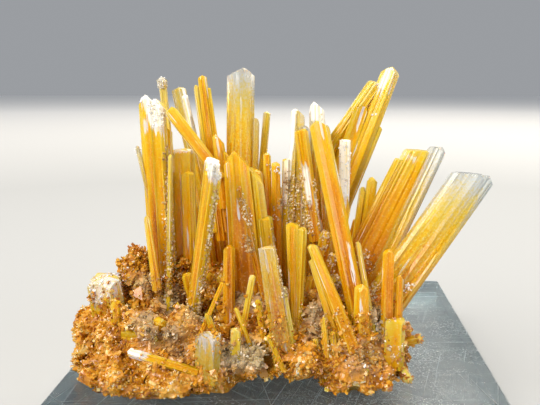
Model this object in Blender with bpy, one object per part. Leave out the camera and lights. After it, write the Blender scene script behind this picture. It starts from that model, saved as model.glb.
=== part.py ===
"""Gypsum: a cluster of orange selenite blades on its drusy base, resting on a clear acrylic block.

Lengths are in millimetres in the lists and become metres when a shape is made. The origin is the
centre of the block's underside, +Z is up and the cluster is looked at along +Y. Places in the lists
of crystals are measured from the centre of the block's top face.
"""
import math
import random
from collections import namedtuple

import bmesh
import bpy
from mathutils import Matrix, Vector, noise

MM = 0.001
GAP = 0.3

# the acrylic display block
BLOCK_WIDTH = 100.0
BLOCK_DEPTH = 100.0
BLOCK_HEIGHT = 16.0
BLOCK_EDGE = 0.4

# the drusy base
ARCH_CENTRE = (0.5, -41.0, 0.0)
ARCH_SIZE = (11.0, 15.0, 3.4)
LUMP_ROUGHNESS = 0.3
DRUSE_COUNT = 52
DRUSE_LENGTH = (1.8, 3.8)
DRUSE_WIDTH = (1.5, 3.0)
INNER_BLADE_TRIES = 420
INNER_BLADE_COUNT = 17

# A blade is a six-sided flattened prism from foot to tip. width and thick are given at the foot and
# at the tip, turn is the angle about its own length, flat is the part of the width that the broad
# faces take, apex is where the highest point lies across and front to back, and roof is how steeply
# the end falls from it to the left, right, front and back, in mm per mm.
Blade = namedtuple(
    "Blade",
    "foot tip width thick turn flat apex roof",
    defaults=(0.0, 0.6, (0.0, 0.0), (0.6, 0.6, 0.5, 0.5)),
)
Lump = namedtuple("Lump", "centre size detail", defaults=(1,))

LEFT_SHEAF = [
    Blade(
        (-28.4, -26.0, 10.0), (-31.9, -21.0, 64.4), (3.6, 3.2), (4.4, 3.4),
        14, 0.5, (0.0, 0.0), (1.3, 0.9, 0.6, 0.6),
    ),
    Blade(
        (-26.0, -26.6, 10.0), (-29.3, -20.6, 63.6), (4.4, 3.9), (4.8, 3.8),
        -8, 0.6, (-0.2, 0.0), (0.5, 1.2, 0.5, 0.6),
    ),
    Blade(
        (-27.0, -24.0, 12.0), (-27.9, -18.0, 57.0), (4.2, 3.0), (5.0, 3.6),
        20, 0.5, (0.0, 0.0), (0.7, 0.9, 0.5, 0.5),
    ),
    Blade(
        (-28.6, -24.6, 32.0), (-33.9, -22.4, 52.8), (2.0, 1.1), (1.8, 1.2),
        0, 0.5, (0.0, 0.0), (0.8, 1.6, 0.4, 0.4),
    ),
    Blade(
        (-28.4, -29.6, 20.0), (-30.6, -28.6, 37.4), (2.2, 1.4), (2.2, 1.4),
        30, 0.5, (0.2, 0.0), (1.2, 0.5, 0.4, 0.4),
    ),
    Blade(
        (-23.4, -21.0, 10.0), (-24.5, -16.6, 51.6), (6.4, 6.2), (4.4, 3.8),
        6, 0.66, (0.8, 0.0), (0.12, 0.2, 0.5, 0.4),
    ),
    Blade(
        (-21.6, -23.6, 10.0), (-22.4, -20.4, 46.5), (3.8, 3.4), (3.4, 2.6),
        -14, 0.6, (0.0, 0.0), (0.5, 0.4, 0.3, 0.3),
    ),
    Blade(
        (-26.0, -29.0, 10.0), (-25.6, -24.2, 51.0), (1.8, 1.2), (2.4, 1.6),
        0, 0.5, (0.0, 0.0), (0.8, 0.8, 0.4, 0.4),
    ),
]
KNOB_TIPPED_PRISM = [
    Blade(
        (-26.0, -10.0, 14.0), (-30.6, -8.0, 68.0), (2.2, 1.9), (2.2, 1.9),
        10, 0.55, (0.0, 0.0), (0.3, 0.3, 0.3, 0.3),
    ),
    Blade(
        (-30.45, -8.1, 65.9), (-30.7, -7.95, 68.6), (2.6, 2.4), (2.5, 2.3),
        25, 0.6, (0.0, 0.0), (0.6, 0.6, 0.5, 0.5),
    ),
]
PALE_STRIATED_BLADE = [
    Blade(
        (-17.4, -8.6, 24.0), (-27.0, -5.8, 66.0), (4.4, 3.6), (2.6, 2.2),
        18, 0.7, (0.2, 0.0), (0.25, 0.35, 0.6, 0.4),
    ),
    Blade(
        (-16.2, -9.0, 24.0), (-25.3, -6.6, 64.2), (2.6, 1.6), (2.6, 1.9),
        -10, 0.5, (0.0, 0.0), (0.4, 0.8, 0.5, 0.4),
    ),
]
ORANGE_NEEDLE_BUNDLE = [
    Blade(
        (-14.2, -21.4, 30.0), (-19.2, -16.6, 69.0), (2.5, 2.1), (2.4, 2.0),
        12, 0.5, (0.0, 0.0), (0.5, 0.5, 0.4, 0.4),
    ),
    Blade(
        (-15.6, -21.2, 32.0), (-20.7, -16.2, 66.8), (1.7, 1.4), (2.0, 1.5),
        0, 0.5, (-0.1, 0.0), (0.4, 0.7, 0.4, 0.4),
    ),
    Blade(
        (-13.2, -21.0, 32.0), (-18.1, -16.6, 66.2), (2.3, 2.0), (2.0, 1.6),
        -18, 0.5, (0.0, 0.0), (0.6, 0.5, 0.3, 0.3),
    ),
    Blade(
        (-12.8, -21.4, 38.0), (-15.2, -20.4, 55.4), (3.8, 2.6), (2.4, 2.0),
        10, 0.5, (-0.4, 0.0), (0.6, 1.4, 0.4, 0.4),
    ),
    Blade(
        (-12.2, -21.2, 36.0), (-13.6, -20.8, 51.8), (3.0, 2.0), (2.2, 2.0),
        -15, 0.5, (-0.2, 0.0), (0.6, 1.2, 0.3, 0.3),
    ),
    Blade(
        (-14.0, -21.6, 45.2), (-26.0, -23.0, 61.4), (3.0, 2.8), (2.2, 1.9),
        8, 0.66, (0.7, 0.0), (0.1, 0.9, 0.4, 0.3),
    ),
]
TALL_CENTRE_PRISM = [
    Blade(
        (-10.8, -16.0, 14.0), (-10.5, -12.0, 70.8), (7.4, 7.1), (5.0, 4.6),
        16, 0.62, (0.6, -0.3), (0.56, 0.66, 0.2, 0.55),
    ),
    Blade(
        (-7.3, -16.6, 20.0), (-6.5, -13.4, 58.8), (1.9, 1.5), (2.2, 1.8),
        0, 0.5, (-0.2, 0.0), (0.2, 0.8, 0.4, 0.4),
    ),
]
PALE_TIPPED_NEEDLE = [
    Blade(
        (-7.4, -11.4, 22.0), (-4.2, -9.6, 60.2), (2.1, 2.0), (2.0, 1.9),
        20, 0.5, (0.0, 0.0), (0.5, 0.5, 0.5, 0.5),
    ),
]
SUGAR_CAPPED_PRISM = [
    Blade(
        (-20.8, -31.4, 10.0), (-14.3, -34.0, 51.4), (2.4, 3.9), (2.8, 3.4),
        -16, 0.55, (-0.6, 0.0), (0.3, 0.5, 0.5, 0.5),
    ),
    Blade(
        (-19.6, -30.2, 12.0), (-13.5, -33.4, 48.6), (2.0, 2.6), (2.0, 2.4),
        24, 0.5, (0.2, 0.0), (0.5, 0.6, 0.4, 0.4),
    ),
]
BROAD_WEDGE = [
    Blade(
        (-6.6, -26.6, 10.0), (-9.9, -26.6, 52.2), (9.4, 6.2), (5.4, 3.4),
        10, 0.7, (-0.6, 0.0), (1.1, 1.3, 0.3, 0.3),
    ),
    Blade(
        (-3.8, -25.4, 10.0), (-7.2, -25.8, 48.4), (8.0, 5.0), (4.6, 3.0),
        -8, 0.66, (0.0, 0.0), (0.6, 1.5, 0.3, 0.3),
    ),
    Blade(
        (-2.4, -23.6, 14.0), (-5.8, -20.6, 47.2), (3.4, 2.0), (3.6, 2.2),
        0, 0.5, (0.0, 0.0), (0.3, 0.9, 0.4, 0.4),
    ),
    Blade(
        (-3.0, -28.6, 16.0), (-9.4, -28.0, 44.6), (1.8, 1.4), (2.0, 1.3),
        0, 0.5, (0.0, 0.0), (0.7, 0.7, 0.3, 0.3),
    ),
    Blade(
        (-1.6, -25.6, 14.0), (-4.0, -25.8, 37.0), (5.0, 4.4), (4.2, 3.4),
        15, 0.6, (0.4, 0.0), (0.1, 0.3, 0.3, 0.3),
    ),
]
PALE_PAIR = [
    Blade(
        (3.0, -20.8, 14.0), (3.6, -16.6, 61.2), (5.4, 3.3), (4.4, 3.2),
        22, 0.55, (-0.5, 0.0), (0.7, 0.9, 0.5, 0.5),
    ),
    Blade(
        (5.0, -19.8, 16.0), (5.0, -17.2, 57.4), (4.2, 3.2), (3.6, 3.0),
        -12, 0.55, (0.0, 0.0), (0.5, 0.7, 0.4, 0.4),
    ),
    Blade(
        (8.2, -20.2, 30.0), (4.4, -19.8, 56.6), (3.0, 3.3), (2.4, 2.2),
        0, 0.66, (0.5, 0.0), (0.25, 0.2, 0.3, 0.3),
    ),
    Blade(
        (10.4, -18.4, 16.0), (7.9, -13.6, 62.8), (6.2, 3.4), (4.2, 2.8),
        12, 0.6, (-0.6, 0.0), (2.2, 0.9, 0.6, 0.5),
    ),
    Blade(
        (12.6, -17.8, 20.0), (9.9, -14.4, 57.6), (4.2, 2.8), (3.6, 2.6),
        -14, 0.5, (0.0, 0.0), (0.7, 1.3, 0.4, 0.4),
    ),
    Blade(
        (1.0, -19.8, 14.0), (1.3, -17.8, 49.6), (3.0, 2.4), (3.4, 2.8),
        30, 0.5, (0.0, 0.0), (0.8, 0.6, 0.3, 0.3),
    ),
]
LONG_FRONT_BLADE = [
    Blade(
        (19.2, -33.8, 9.0), (8.2, -26.6, 59.1), (4.5, 4.4), (3.4, 3.0),
        12, 0.62, (-0.3, -0.2), (0.9, 0.62, 0.5, 0.4),
    ),
    Blade(
        (19.4, -32.4, 10.0), (10.6, -25.8, 53.4), (3.0, 2.0), (2.8, 2.0),
        -18, 0.5, (0.0, 0.0), (0.6, 0.8, 0.4, 0.4),
    ),
    Blade(
        (21.6, -32.6, 10.0), (17.6, -29.2, 32.2), (1.8, 1.1), (2.2, 1.4),
        0, 0.5, (0.0, 0.0), (0.6, 1.0, 0.3, 0.3),
    ),
]
SHORT_PALE_BLOCK = [
    Blade(
        (14.2, -22.6, 20.0), (14.7, -21.6, 54.4), (2.9, 2.8), (2.4, 2.2),
        8, 0.7, (0.0, 0.0), (0.1, 0.12, 0.4, 0.3),
    ),
]
UPPER_FAN = [
    Blade(
        (5.6, -12.0, 14.0), (26.5, -8.2, 71.0), (5.4, 4.6), (4.4, 3.8),
        -14, 0.5, (0.0, 0.0), (0.6, 0.7, 0.5, 0.5),
    ),
    Blade(
        (1.0, -11.1, 35.6), (22.7, -8.3, 67.6), (4.2, 3.9), (3.4, 3.2),
        12, 0.55, (0.6, 0.0), (0.5, 0.5, 0.5, 0.4),
    ),
    Blade(
        (3.6, -11.8, 14.0), (19.2, -8.8, 62.0), (6.4, 5.2), (4.2, 3.6),
        5, 0.6, (0.6, 0.0), (0.5, 0.6, 0.4, 0.4),
    ),
    Blade(
        (2.6, -11.4, 14.0), (13.9, -9.2, 55.2), (4.2, 3.8), (3.6, 3.2),
        20, 0.55, (0.0, 0.0), (0.5, 0.6, 0.4, 0.4),
    ),
    Blade(
        (13.6, -10.6, 32.0), (23.7, -9.2, 56.6), (3.0, 1.6), (2.8, 1.8),
        0, 0.5, (0.2, 0.0), (0.7, 0.9, 0.3, 0.3),
    ),
]
SMALL_JAGGED_CRYSTAL = [
    Blade(
        (18.8, -15.6, 20.0), (21.8, -14.8, 44.8), (3.8, 2.6), (2.4, 2.0),
        10, 0.5, (0.0, 0.0), (0.9, 0.9, 0.5, 0.4),
    ),
    Blade(
        (17.0, -15.4, 20.0), (19.6, -14.8, 42.4), (2.6, 1.8), (2.2, 1.8),
        -10, 0.5, (0.0, 0.0), (0.7, 0.9, 0.4, 0.4),
    ),
]
MIDDLE_FAN = [
    Blade(
        (14.2, -21.8, 14.0), (32.8, -16.8, 52.2), (8.2, 7.4), (4.2, 3.8),
        6, 0.7, (1.6, 0.0), (0.46, 0.5, 0.4, 0.3),
    ),
    Blade(
        (19.2, -21.8, 14.0), (36.9, -16.6, 52.7), (4.8, 4.4), (4.8, 4.4),
        -8, 0.6, (1.0, -0.2), (0.45, 0.9, 0.5, 0.4),
    ),
    Blade(
        (12.0, -21.2, 16.0), (28.4, -17.0, 49.6), (4.0, 3.4), (3.6, 3.0),
        16, 0.55, (0.4, 0.0), (0.5, 0.4, 0.4, 0.3),
    ),
]
LOWER_FAN = [
    Blade(
        (19.2, -28.0, 12.0), (44.4, -20.6, 47.8), (7.4, 7.2), (4.2, 4.4),
        6, 0.7, (2.2, 0.0), (0.62, 0.5, 0.4, 0.4),
    ),
    Blade(
        (23.4, -27.8, 12.0), (47.6, -20.2, 46.4), (4.6, 4.8), (4.4, 4.4),
        -10, 0.6, (0.7, -0.2), (0.55, 0.8, 0.5, 0.4),
    ),
]
CLEAR_TOPPED_PRISM = [
    Blade(
        (2.0, -38.6, 5.0), (-2.4, -36.0, 32.4), (5.0, 3.7), (3.6, 3.0),
        12, 0.68, (-0.3, 0.0), (0.12, 0.16, 0.4, 0.3),
    ),
    Blade(
        (3.6, -37.8, 5.0), (0.5, -35.8, 23.4), (3.2, 2.4), (3.0, 2.4),
        -14, 0.6, (0.2, 0.0), (0.2, 0.6, 0.3, 0.3),
    ),
]
TAPERING_AMBER_PRISM = [
    Blade(
        (3.7, -34.0, 7.0), (3.0, -31.6, 36.8), (1.6, 3.6), (2.4, 3.0),
        10, 0.62, (-0.3, 0.0), (0.4, 0.4, 0.3, 0.3),
    ),
    Blade(
        (4.2, -33.6, 7.0), (4.9, -31.4, 35.8), (1.6, 3.2), (2.4, 3.2),
        -12, 0.62, (0.2, 0.0), (0.4, 0.6, 0.3, 0.3),
    ),
]
FRONT_RIGHT_BLADE = [
    Blade(
        (17.0, -37.0, 9.0), (7.1, -32.4, 32.2), (3.8, 2.2), (3.0, 2.0),
        6, 0.6, (-0.2, 0.0), (0.5, 0.6, 0.4, 0.3),
    ),
    Blade(
        (14.4, -35.8, 8.0), (7.2, -31.8, 28.6), (2.6, 1.6), (2.6, 1.8),
        -10, 0.5, (0.0, 0.0), (0.5, 0.7, 0.3, 0.3),
    ),
]
ROUND_TOPPED_PRISM = [
    Blade(
        (-11.4, -32.6, 8.0), (-11.4, -30.8, 31.4), (2.9, 2.5), (2.6, 2.2),
        10, 0.5, (0.0, 0.0), (0.7, 0.7, 0.6, 0.5),
    ),
]
AMBER_BUNDLE = [
    Blade(
        (11.6, -39.0, 1.0), (10.0, -36.6, 16.8), (1.7, 1.3), (2.0, 1.4),
        0, 0.5, (0.0, 0.0), (0.6, 0.6, 0.3, 0.3),
    ),
    Blade(
        (13.2, -38.4, 2.0), (12.0, -36.4, 13.6), (1.8, 1.4), (2.0, 1.6),
        20, 0.5, (0.0, 0.0), (0.6, 0.6, 0.3, 0.3),
    ),
    Blade(
        (10.2, -38.6, 2.0), (8.2, -36.6, 12.0), (1.6, 1.2), (2.0, 1.4),
        -20, 0.5, (0.0, 0.0), (0.6, 0.6, 0.3, 0.3),
    ),
]
BACK_LEFT_BLADES = [
    Blade(
        (-24.0, -4.0, 8.0), (-31.0, 9.0, 38.0), (4.0, 3.6), (3.0, 2.6),
        20, 0.6, (0.3, 0.0), (0.5, 0.5, 0.4, 0.4),
    ),
    Blade(
        (-21.0, -3.6, 8.0), (-27.6, 7.6, 43.0), (4.2, 3.8), (3.4, 2.8),
        -10, 0.6, (0.0, 0.0), (0.6, 0.4, 0.4, 0.4),
    ),
    Blade(
        (-26.6, -5.0, 8.0), (-36.0, 6.0, 31.0), (3.6, 3.0), (3.0, 2.4),
        35, 0.5, (0.0, 0.0), (0.6, 0.6, 0.4, 0.4),
    ),
]
BACK_CENTRE_BLADES = [
    Blade(
        (-6.0, -1.0, 8.0), (-9.4, 9.6, 45.0), (5.6, 5.0), (3.6, 3.2),
        8, 0.66, (0.4, 0.0), (0.5, 0.6, 0.4, 0.4),
    ),
    Blade(
        (-2.4, -1.4, 8.0), (-3.0, 8.0, 39.0), (4.6, 4.0), (3.6, 3.0),
        -16, 0.6, (0.0, 0.0), (0.5, 0.5, 0.4, 0.4),
    ),
    Blade(
        (-9.0, 0.6, 8.0), (-15.0, 12.6, 33.0), (4.0, 3.4), (3.0, 2.6),
        24, 0.5, (0.0, 0.0), (0.7, 0.5, 0.4, 0.4),
    ),
]
BACK_RIGHT_BLADES = [
    Blade(
        (11.0, 0.0, 8.0), (17.0, 10.0, 40.0), (5.0, 4.4), (3.4, 3.0),
        -12, 0.62, (0.2, 0.0), (0.4, 0.6, 0.4, 0.4),
    ),
    Blade(
        (14.6, -1.0, 8.0), (24.6, 8.4, 34.6), (4.4, 3.8), (3.2, 2.8),
        14, 0.6, (0.0, 0.0), (0.6, 0.5, 0.4, 0.4),
    ),
]

# name, blades, colour and how clear it is; a later one gives way to the ones before it
CRYSTALS = [
    ("tall_centre_prism", TALL_CENTRE_PRISM, (0.86, 0.55, 0.14), 0.7),
    ("left_sheaf", LEFT_SHEAF, (0.86, 0.42, 0.06), 0.3),
    ("orange_needle_bundle", ORANGE_NEEDLE_BUNDLE, (0.89, 0.40, 0.05), 0.3),
    ("broad_wedge", BROAD_WEDGE, (0.72, 0.35, 0.06), 0.4),
    ("pale_pair", PALE_PAIR, (0.90, 0.78, 0.55), 0.3),
    ("upper_fan", UPPER_FAN, (0.90, 0.56, 0.14), 0.5),
    ("lower_fan", LOWER_FAN, (0.93, 0.70, 0.25), 0.6),
    ("middle_fan", MIDDLE_FAN, (0.90, 0.52, 0.10), 0.5),
    ("long_front_blade", LONG_FRONT_BLADE, (0.86, 0.50, 0.10), 0.5),
    ("sugar_capped_prism", SUGAR_CAPPED_PRISM, (0.86, 0.55, 0.15), 0.4),
    ("clear_topped_prism", CLEAR_TOPPED_PRISM, (0.82, 0.55, 0.16), 0.6),
    ("tapering_amber_prism", TAPERING_AMBER_PRISM, (0.86, 0.47, 0.08), 0.5),
    ("front_right_blade", FRONT_RIGHT_BLADE, (0.82, 0.48, 0.10), 0.5),
    ("round_topped_prism", ROUND_TOPPED_PRISM, (0.60, 0.32, 0.08), 0.3),
    ("knob_tipped_prism", KNOB_TIPPED_PRISM, (0.88, 0.68, 0.34), 0.4),
    ("pale_striated_blade", PALE_STRIATED_BLADE, (0.93, 0.80, 0.52), 0.4),
    ("pale_tipped_needle", PALE_TIPPED_NEEDLE, (0.90, 0.60, 0.20), 0.5),
    ("short_pale_block", SHORT_PALE_BLOCK, (0.93, 0.82, 0.64), 0.3),
    ("small_jagged_crystal", SMALL_JAGGED_CRYSTAL, (0.82, 0.45, 0.14), 0.2),
    ("amber_bundle", AMBER_BUNDLE, (0.72, 0.42, 0.08), 0.3),
    ("back_left_blades", BACK_LEFT_BLADES, (0.86, 0.50, 0.12), 0.4),
    ("back_centre_blades", BACK_CENTRE_BLADES, (0.86, 0.52, 0.12), 0.4),
    ("back_right_blades", BACK_RIGHT_BLADES, (0.88, 0.55, 0.14), 0.4),
]

# the body of the drusy base
LUMPS = [
    Lump((-37.6, -24.0, 6.6), (11.6, 14.0, 10.2), 2),
    Lump((-30.0, -34.0, 5.0), (13.0, 12.6, 10.4), 2),
    Lump((-29.0, -20.0, 13.0), (10.6, 12.0, 14.0), 2),
    Lump((-17.0, -34.0, 5.0), (9.6, 10.6, 10.0), 2),
    Lump((-10.0, -20.0, 9.0), (15.0, 16.0, 13.6)),
    Lump((3.0, -25.0, 9.0), (12.6, 14.0, 11.0)),
    Lump((16.4, -30.0, 5.0), (11.6, 9.8, 10.0), 2),
    Lump((20.6, -19.0, 6.0), (10.0, 12.6, 12.0), 2),
    Lump((-6.0, -4.0, 7.0), (20.0, 13.0, 12.0), 2),
    Lump((-29.0, -6.0, 6.0), (13.0, 12.0, 10.0), 2),
    Lump((14.0, -5.0, 6.0), (12.0, 12.0, 11.0), 2),
    Lump((-34.2, -25.2, 23.6), (4.2, 4.6, 5.4)),
    Lump((-46.4, -21.0, 9.6), (4.4, 6.0, 4.0)),
    Lump((-47.6, -20.4, 3.0), (3.8, 5.4, 3.6)),
    Lump((-43.4, -31.4, 3.0), (4.8, 6.0, 4.6)),
    Lump((-35.4, -42.0, 4.0), (6.0, 5.6, 5.0)),
    Lump((-37.4, -35.8, 11.0), (5.0, 4.8, 4.2)),
    Lump((-24.0, -43.4, 4.0), (6.6, 4.8, 5.0)),
    Lump((-15.0, -42.0, 6.0), (4.6, 4.2, 5.4)),
    Lump((-30.0, -37.0, 14.6), (5.0, 4.0, 3.6)),
    Lump((-21.0, -35.8, 14.0), (4.0, 3.6, 3.8)),
    Lump((-7.0, -37.4, 7.0), (5.4, 5.0, 4.8)),
    Lump((5.6, -38.2, 7.0), (6.0, 4.8, 4.4)),
    Lump((16.4, -38.0, 4.6), (6.0, 4.4, 4.8)),
    Lump((25.0, -29.6, 9.0), (5.0, 5.0, 6.0)),
    Lump((26.0, -26.4, 3.6), (5.0, 5.4, 4.6)),
    Lump((18.4, -29.0, 15.0), (5.4, 4.6, 5.4)),
    Lump((-16.0, -26.0, 19.6), (4.6, 4.6, 5.2)),
    Lump((11.0, -27.4, 16.4), (5.0, 5.0, 5.4)),
]

# crystals and stubs that stand out of the base and are grown into it
BASE_CRYSTALS = [
    # the long orange blade lying across the front of the left lobe
    Blade((-16.8, -42.4, 6.2), (-31.6, -43.4, 10.6), (2.0, 2.2), (2.4, 2.0), 20, 0.6),
    # the pale plate on the left shoulder
    Blade(
        (-40.4, -25.0, 9.0), (-41.3, -28.6, 23.0), (8.8, 7.6), (6.4, 5.4),
        -16, 0.8, (1.0, 0.0), (0.35, 0.25, 0.6, 0.3),
    ),
    # the upright stub, the striated roll and the bright lump over it
    Blade((-36.2, -36.4, 8.0), (-36.4, -36.0, 19.8), (2.3, 2.2), (2.2, 2.0), 10, 0.6),
    Blade((-34.4, -37.6, 12.6), (-26.2, -38.4, 10.8), (4.2, 3.0), (3.8, 3.0), 0, 0.5),
    # the pale flat-faced block and the small one beside it
    Blade((-14.6, -42.6, 4.0), (-14.6, -42.8, 15.2), (6.2, 5.4), (4.6, 3.6), -20, 0.75),
    Blade((-9.0, -40.4, 8.0), (-9.0, -40.2, 15.2), (2.4, 2.2), (2.2, 2.0), 15, 0.75),
    # needles and short prisms along the front
    Blade((-17.4, -37.6, 11.6), (-11.9, -37.8, 24.6), (1.2, 1.0), (1.2, 1.0), 0, 0.5),
    Blade((-8.4, -36.0, 10.0), (-5.5, -36.4, 26.0), (1.5, 1.7), (1.4, 1.4), 20, 0.55),
    Blade((-5.4, -38.2, 8.6), (-9.1, -38.6, 19.2), (1.2, 1.0), (1.2, 1.0), 0, 0.5),
    Blade((1.6, -41.4, 6.0), (-1.8, -42.2, 14.4), (1.2, 1.0), (1.2, 1.0), 0, 0.5),
    Blade((-13.0, -36.6, 8.0), (-15.6, -38.0, 17.6), (2.2, 1.4), (1.8, 1.2), 0, 0.5),
    Blade((-2.6, -36.4, 8.0), (-4.4, -37.0, 20.6), (1.8, 1.4), (1.6, 1.2), 0, 0.5),
    Blade((-19.6, -36.0, 10.0), (-22.6, -36.8, 19.4), (1.6, 1.1), (1.6, 1.1), 0, 0.5),
    # the amber mass under the long blade and the striated prism beside it
    Blade((18.8, -35.0, 3.0), (18.4, -33.8, 23.6), (4.6, 3.0), (3.6, 3.0), 12, 0.6),
    Blade((24.3, -31.8, 8.0), (24.3, -31.4, 31.0), (3.0, 2.7), (2.4, 2.2), 12, 0.7),
    Blade((26.9, -31.2, 8.0), (27.1, -31.0, 25.0), (2.2, 1.6), (2.2, 1.6), 0, 0.5),
    # the flat-topped block, the cone and the ledge at the right
    Blade(
        (25.9, -33.2, 4.0), (26.1, -33.0, 15.4), (4.6, 4.4), (3.6, 3.4),
        -14, 0.8, (0.0, 0.0), (0.08, 0.1, 0.2, 0.1),
    ),
    Blade((26.0, -31.4, 5.0), (29.8, -35.4, 1.4), (3.4, 1.6), (3.2, 1.6), 0, 0.5),
    Blade((28.6, -28.0, 8.0), (33.0, -28.6, 9.4), (2.6, 1.8), (2.4, 1.8), 0, 0.5),
    Blade((13.0, -38.6, 6.0), (20.2, -38.8, 5.2), (3.0, 2.4), (3.0, 2.6), 0, 0.7),
    Blade((16.6, -38.4, 2.4), (16.8, -41.0, 4.6), (3.2, 2.8), (3.2, 2.6), 0, 0.8),
    Blade((11.4, -37.4, 2.4), (11.0, -40.4, 0.9), (1.6, 1.2), (1.6, 1.2), 0, 0.5),
    # small lumps and tips behind the wedge
    Blade((-0.8, -20.6, 20.0), (-1.4, -20.4, 49.0), (2.6, 2.2), (2.4, 2.0), 25, 0.5),
    Blade((-3.0, -19.6, 20.0), (-3.6, -18.8, 51.0), (2.4, 1.8), (2.4, 1.8), 0, 0.5),
]

# how high the inner blades may reach, by their place across
INNER_SKYLINE = [
    (-36, 26), (-31, 40), (-24, 44), (-16, 45), (-9, 42), (-2, 40),
    (6, 42), (13, 38), (20, 32), (28, 20), (34, 12),
]


def remove_everything():
    for thing in list(bpy.data.objects):
        bpy.data.objects.remove(thing, do_unlink=True)


def new_object(name, bm):
    mesh = bpy.data.meshes.new(name)
    bm.normal_update()
    bm.to_mesh(mesh)
    bm.free()
    thing = bpy.data.objects.new(name, mesh)
    bpy.context.scene.collection.objects.link(thing)
    return thing


def plain_material(name, colour, rough, clear, ior=1.52):
    mat = bpy.data.materials.new(name)
    mat.use_nodes = True
    shader = mat.node_tree.nodes["Principled BSDF"]
    shader.inputs["Base Color"].default_value = (*colour, 1.0)
    shader.inputs["Roughness"].default_value = rough
    shader.inputs["Transmission Weight"].default_value = clear
    shader.inputs["IOR"].default_value = ior
    mat.diffuse_color = (*colour, 1.0)
    return mat


def cut_end(bm, point, normal):
    geometry = bm.verts[:] + bm.edges[:] + bm.faces[:]
    bmesh.ops.bisect_plane(bm, geom=geometry, plane_co=point, plane_no=normal, clear_outer=True)
    bmesh.ops.remove_doubles(bm, verts=bm.verts, dist=0.02)
    rim = [e for e in bm.edges if e.is_boundary]
    if rim:
        bmesh.ops.holes_fill(bm, edges=rim, sides=0)


def blade_frame(spec):
    foot = Vector(spec.foot)
    axis = Vector(spec.tip) - foot
    length = axis.length
    axis.normalize()
    across = Vector((1.0, 0.0, 0.0))
    if abs(axis.x) > 0.9:
        across = Vector((0.0, 0.0, 1.0))
    across = (across - axis * across.dot(axis)).normalized()
    across = Matrix.Rotation(math.radians(spec.turn), 3, axis) @ across
    back = axis.cross(across)
    frame = Matrix((across, back, axis)).transposed().to_4x4()
    frame.translation = foot
    return frame, length


def make_blade(name, spec, grow=0.0):
    frame, length = blade_frame(spec)
    chance = random.Random(str(spec.tip))
    flat = spec.flat
    section = [(-1, 0), (-flat, -1), (flat, -1), (1, 0), (flat, 1), (-flat, 1)]
    section = [(x + chance.uniform(-0.06, 0.06), y * chance.uniform(0.93, 1.0)) for x, y in section]
    bm = bmesh.new()
    ring = bmesh.ops.create_circle(bm, cap_ends=True, segments=6, radius=1.0)["verts"]
    ring.sort(key=lambda v: math.atan2(v.co.y, v.co.x))
    top = bmesh.ops.extrude_face_region(bm, geom=bm.faces[:], use_keep_orig=True)["geom"]
    top = [v for v in top if isinstance(v, bmesh.types.BMVert)]
    top.sort(key=lambda v: math.atan2(v.co.y, v.co.x))
    for vert, (x, y) in zip(ring, section):
        vert.co = (x * (spec.width[0] / 2 + grow), y * (spec.thick[0] / 2 + grow), -grow)
    reach = length + max(spec.width[1], spec.thick[1])
    for vert, (x, y) in zip(top, section):
        vert.co = (x * (spec.width[1] / 2 + grow), y * (spec.thick[1] / 2 + grow), reach)
    bmesh.ops.recalc_face_normals(bm, faces=bm.faces[:])
    peak = Vector((spec.apex[0], spec.apex[1], length + grow))
    left, right, front, rear = spec.roof
    cut_end(bm, peak, Vector((-left, -0.4 * front, 1.0)))
    cut_end(bm, peak, Vector((right, -0.4 * front, 1.0)))
    cut_end(bm, peak, Vector((0.1, -front, 1.0)))
    cut_end(bm, peak, Vector((-0.1, rear, 1.0)))
    bmesh.ops.recalc_face_normals(bm, faces=bm.faces[:])
    lift = Matrix.Translation((0.0, 0.0, BLOCK_HEIGHT))
    bmesh.ops.transform(bm, matrix=Matrix.Scale(MM, 4) @ lift @ frame, verts=bm.verts)
    return new_object(name, bm)


def make_stub(name, foot, away, long, wide, turn):
    """A small four-sided prism with a wedge end, standing on foot along away."""
    frame, _ = blade_frame(Blade(tuple(foot), tuple(foot + away), (1, 1), (1, 1), turn))
    bm = bmesh.new()
    bmesh.ops.create_cube(bm, size=1.0)
    bmesh.ops.transform(bm, matrix=Matrix.Translation((0.0, 0.0, 0.5)), verts=bm.verts)
    for vert in bm.verts:
        raised = vert.co.z > 0.5
        vert.co.x *= wide * (0.85 if raised else 1.0)
        vert.co.y *= wide * (0.45 if raised else 0.75)
        vert.co.z *= long + (0.3 * wide if raised and vert.co.x > 0 else 0.0)
    lift = Matrix.Translation((0.0, 0.0, BLOCK_HEIGHT))
    bmesh.ops.transform(bm, matrix=Matrix.Scale(MM, 4) @ lift @ frame, verts=bm.verts)
    return new_object(name, bm)


def make_lump(name, spec, seed):
    bm = bmesh.new()
    bmesh.ops.create_icosphere(bm, subdivisions=spec.detail, radius=1.0)
    for vert in bm.verts:
        place = vert.co * 1.7 + Vector((seed * 3.1, seed * 1.7, 0.0))
        wave = noise.noise(place) + 0.6 * noise.noise(place * 2.3)
        vert.co *= 1.0 + LUMP_ROUGHNESS * wave
    centre = Vector(spec.centre) + Vector((0.0, 0.0, BLOCK_HEIGHT))
    size = Matrix.Diagonal((*spec.size, 1.0))
    bmesh.ops.transform(bm, matrix=Matrix.Scale(MM, 4) @ Matrix.Translation(centre) @ size, verts=bm.verts)
    return new_object(name, bm)


def combine(base, others, operation):
    """Joins the other shapes to the base, or cuts them from it, and removes them."""
    group = bpy.data.collections.new("shapes")
    for other in others:
        group.objects.link(other)
    change = base.modifiers.new("change", "BOOLEAN")
    change.operation = operation
    change.solver = "EXACT"
    change.operand_type = "COLLECTION"
    change.collection = group
    bpy.context.view_layer.update()
    seen = base.evaluated_get(bpy.context.evaluated_depsgraph_get())
    mesh = bpy.data.meshes.new_from_object(seen)
    base.modifiers.clear()
    base.data = mesh
    mesh.name = base.name
    for other in others:
        bpy.data.objects.remove(other, do_unlink=True)
    bpy.data.collections.remove(group)


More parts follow.
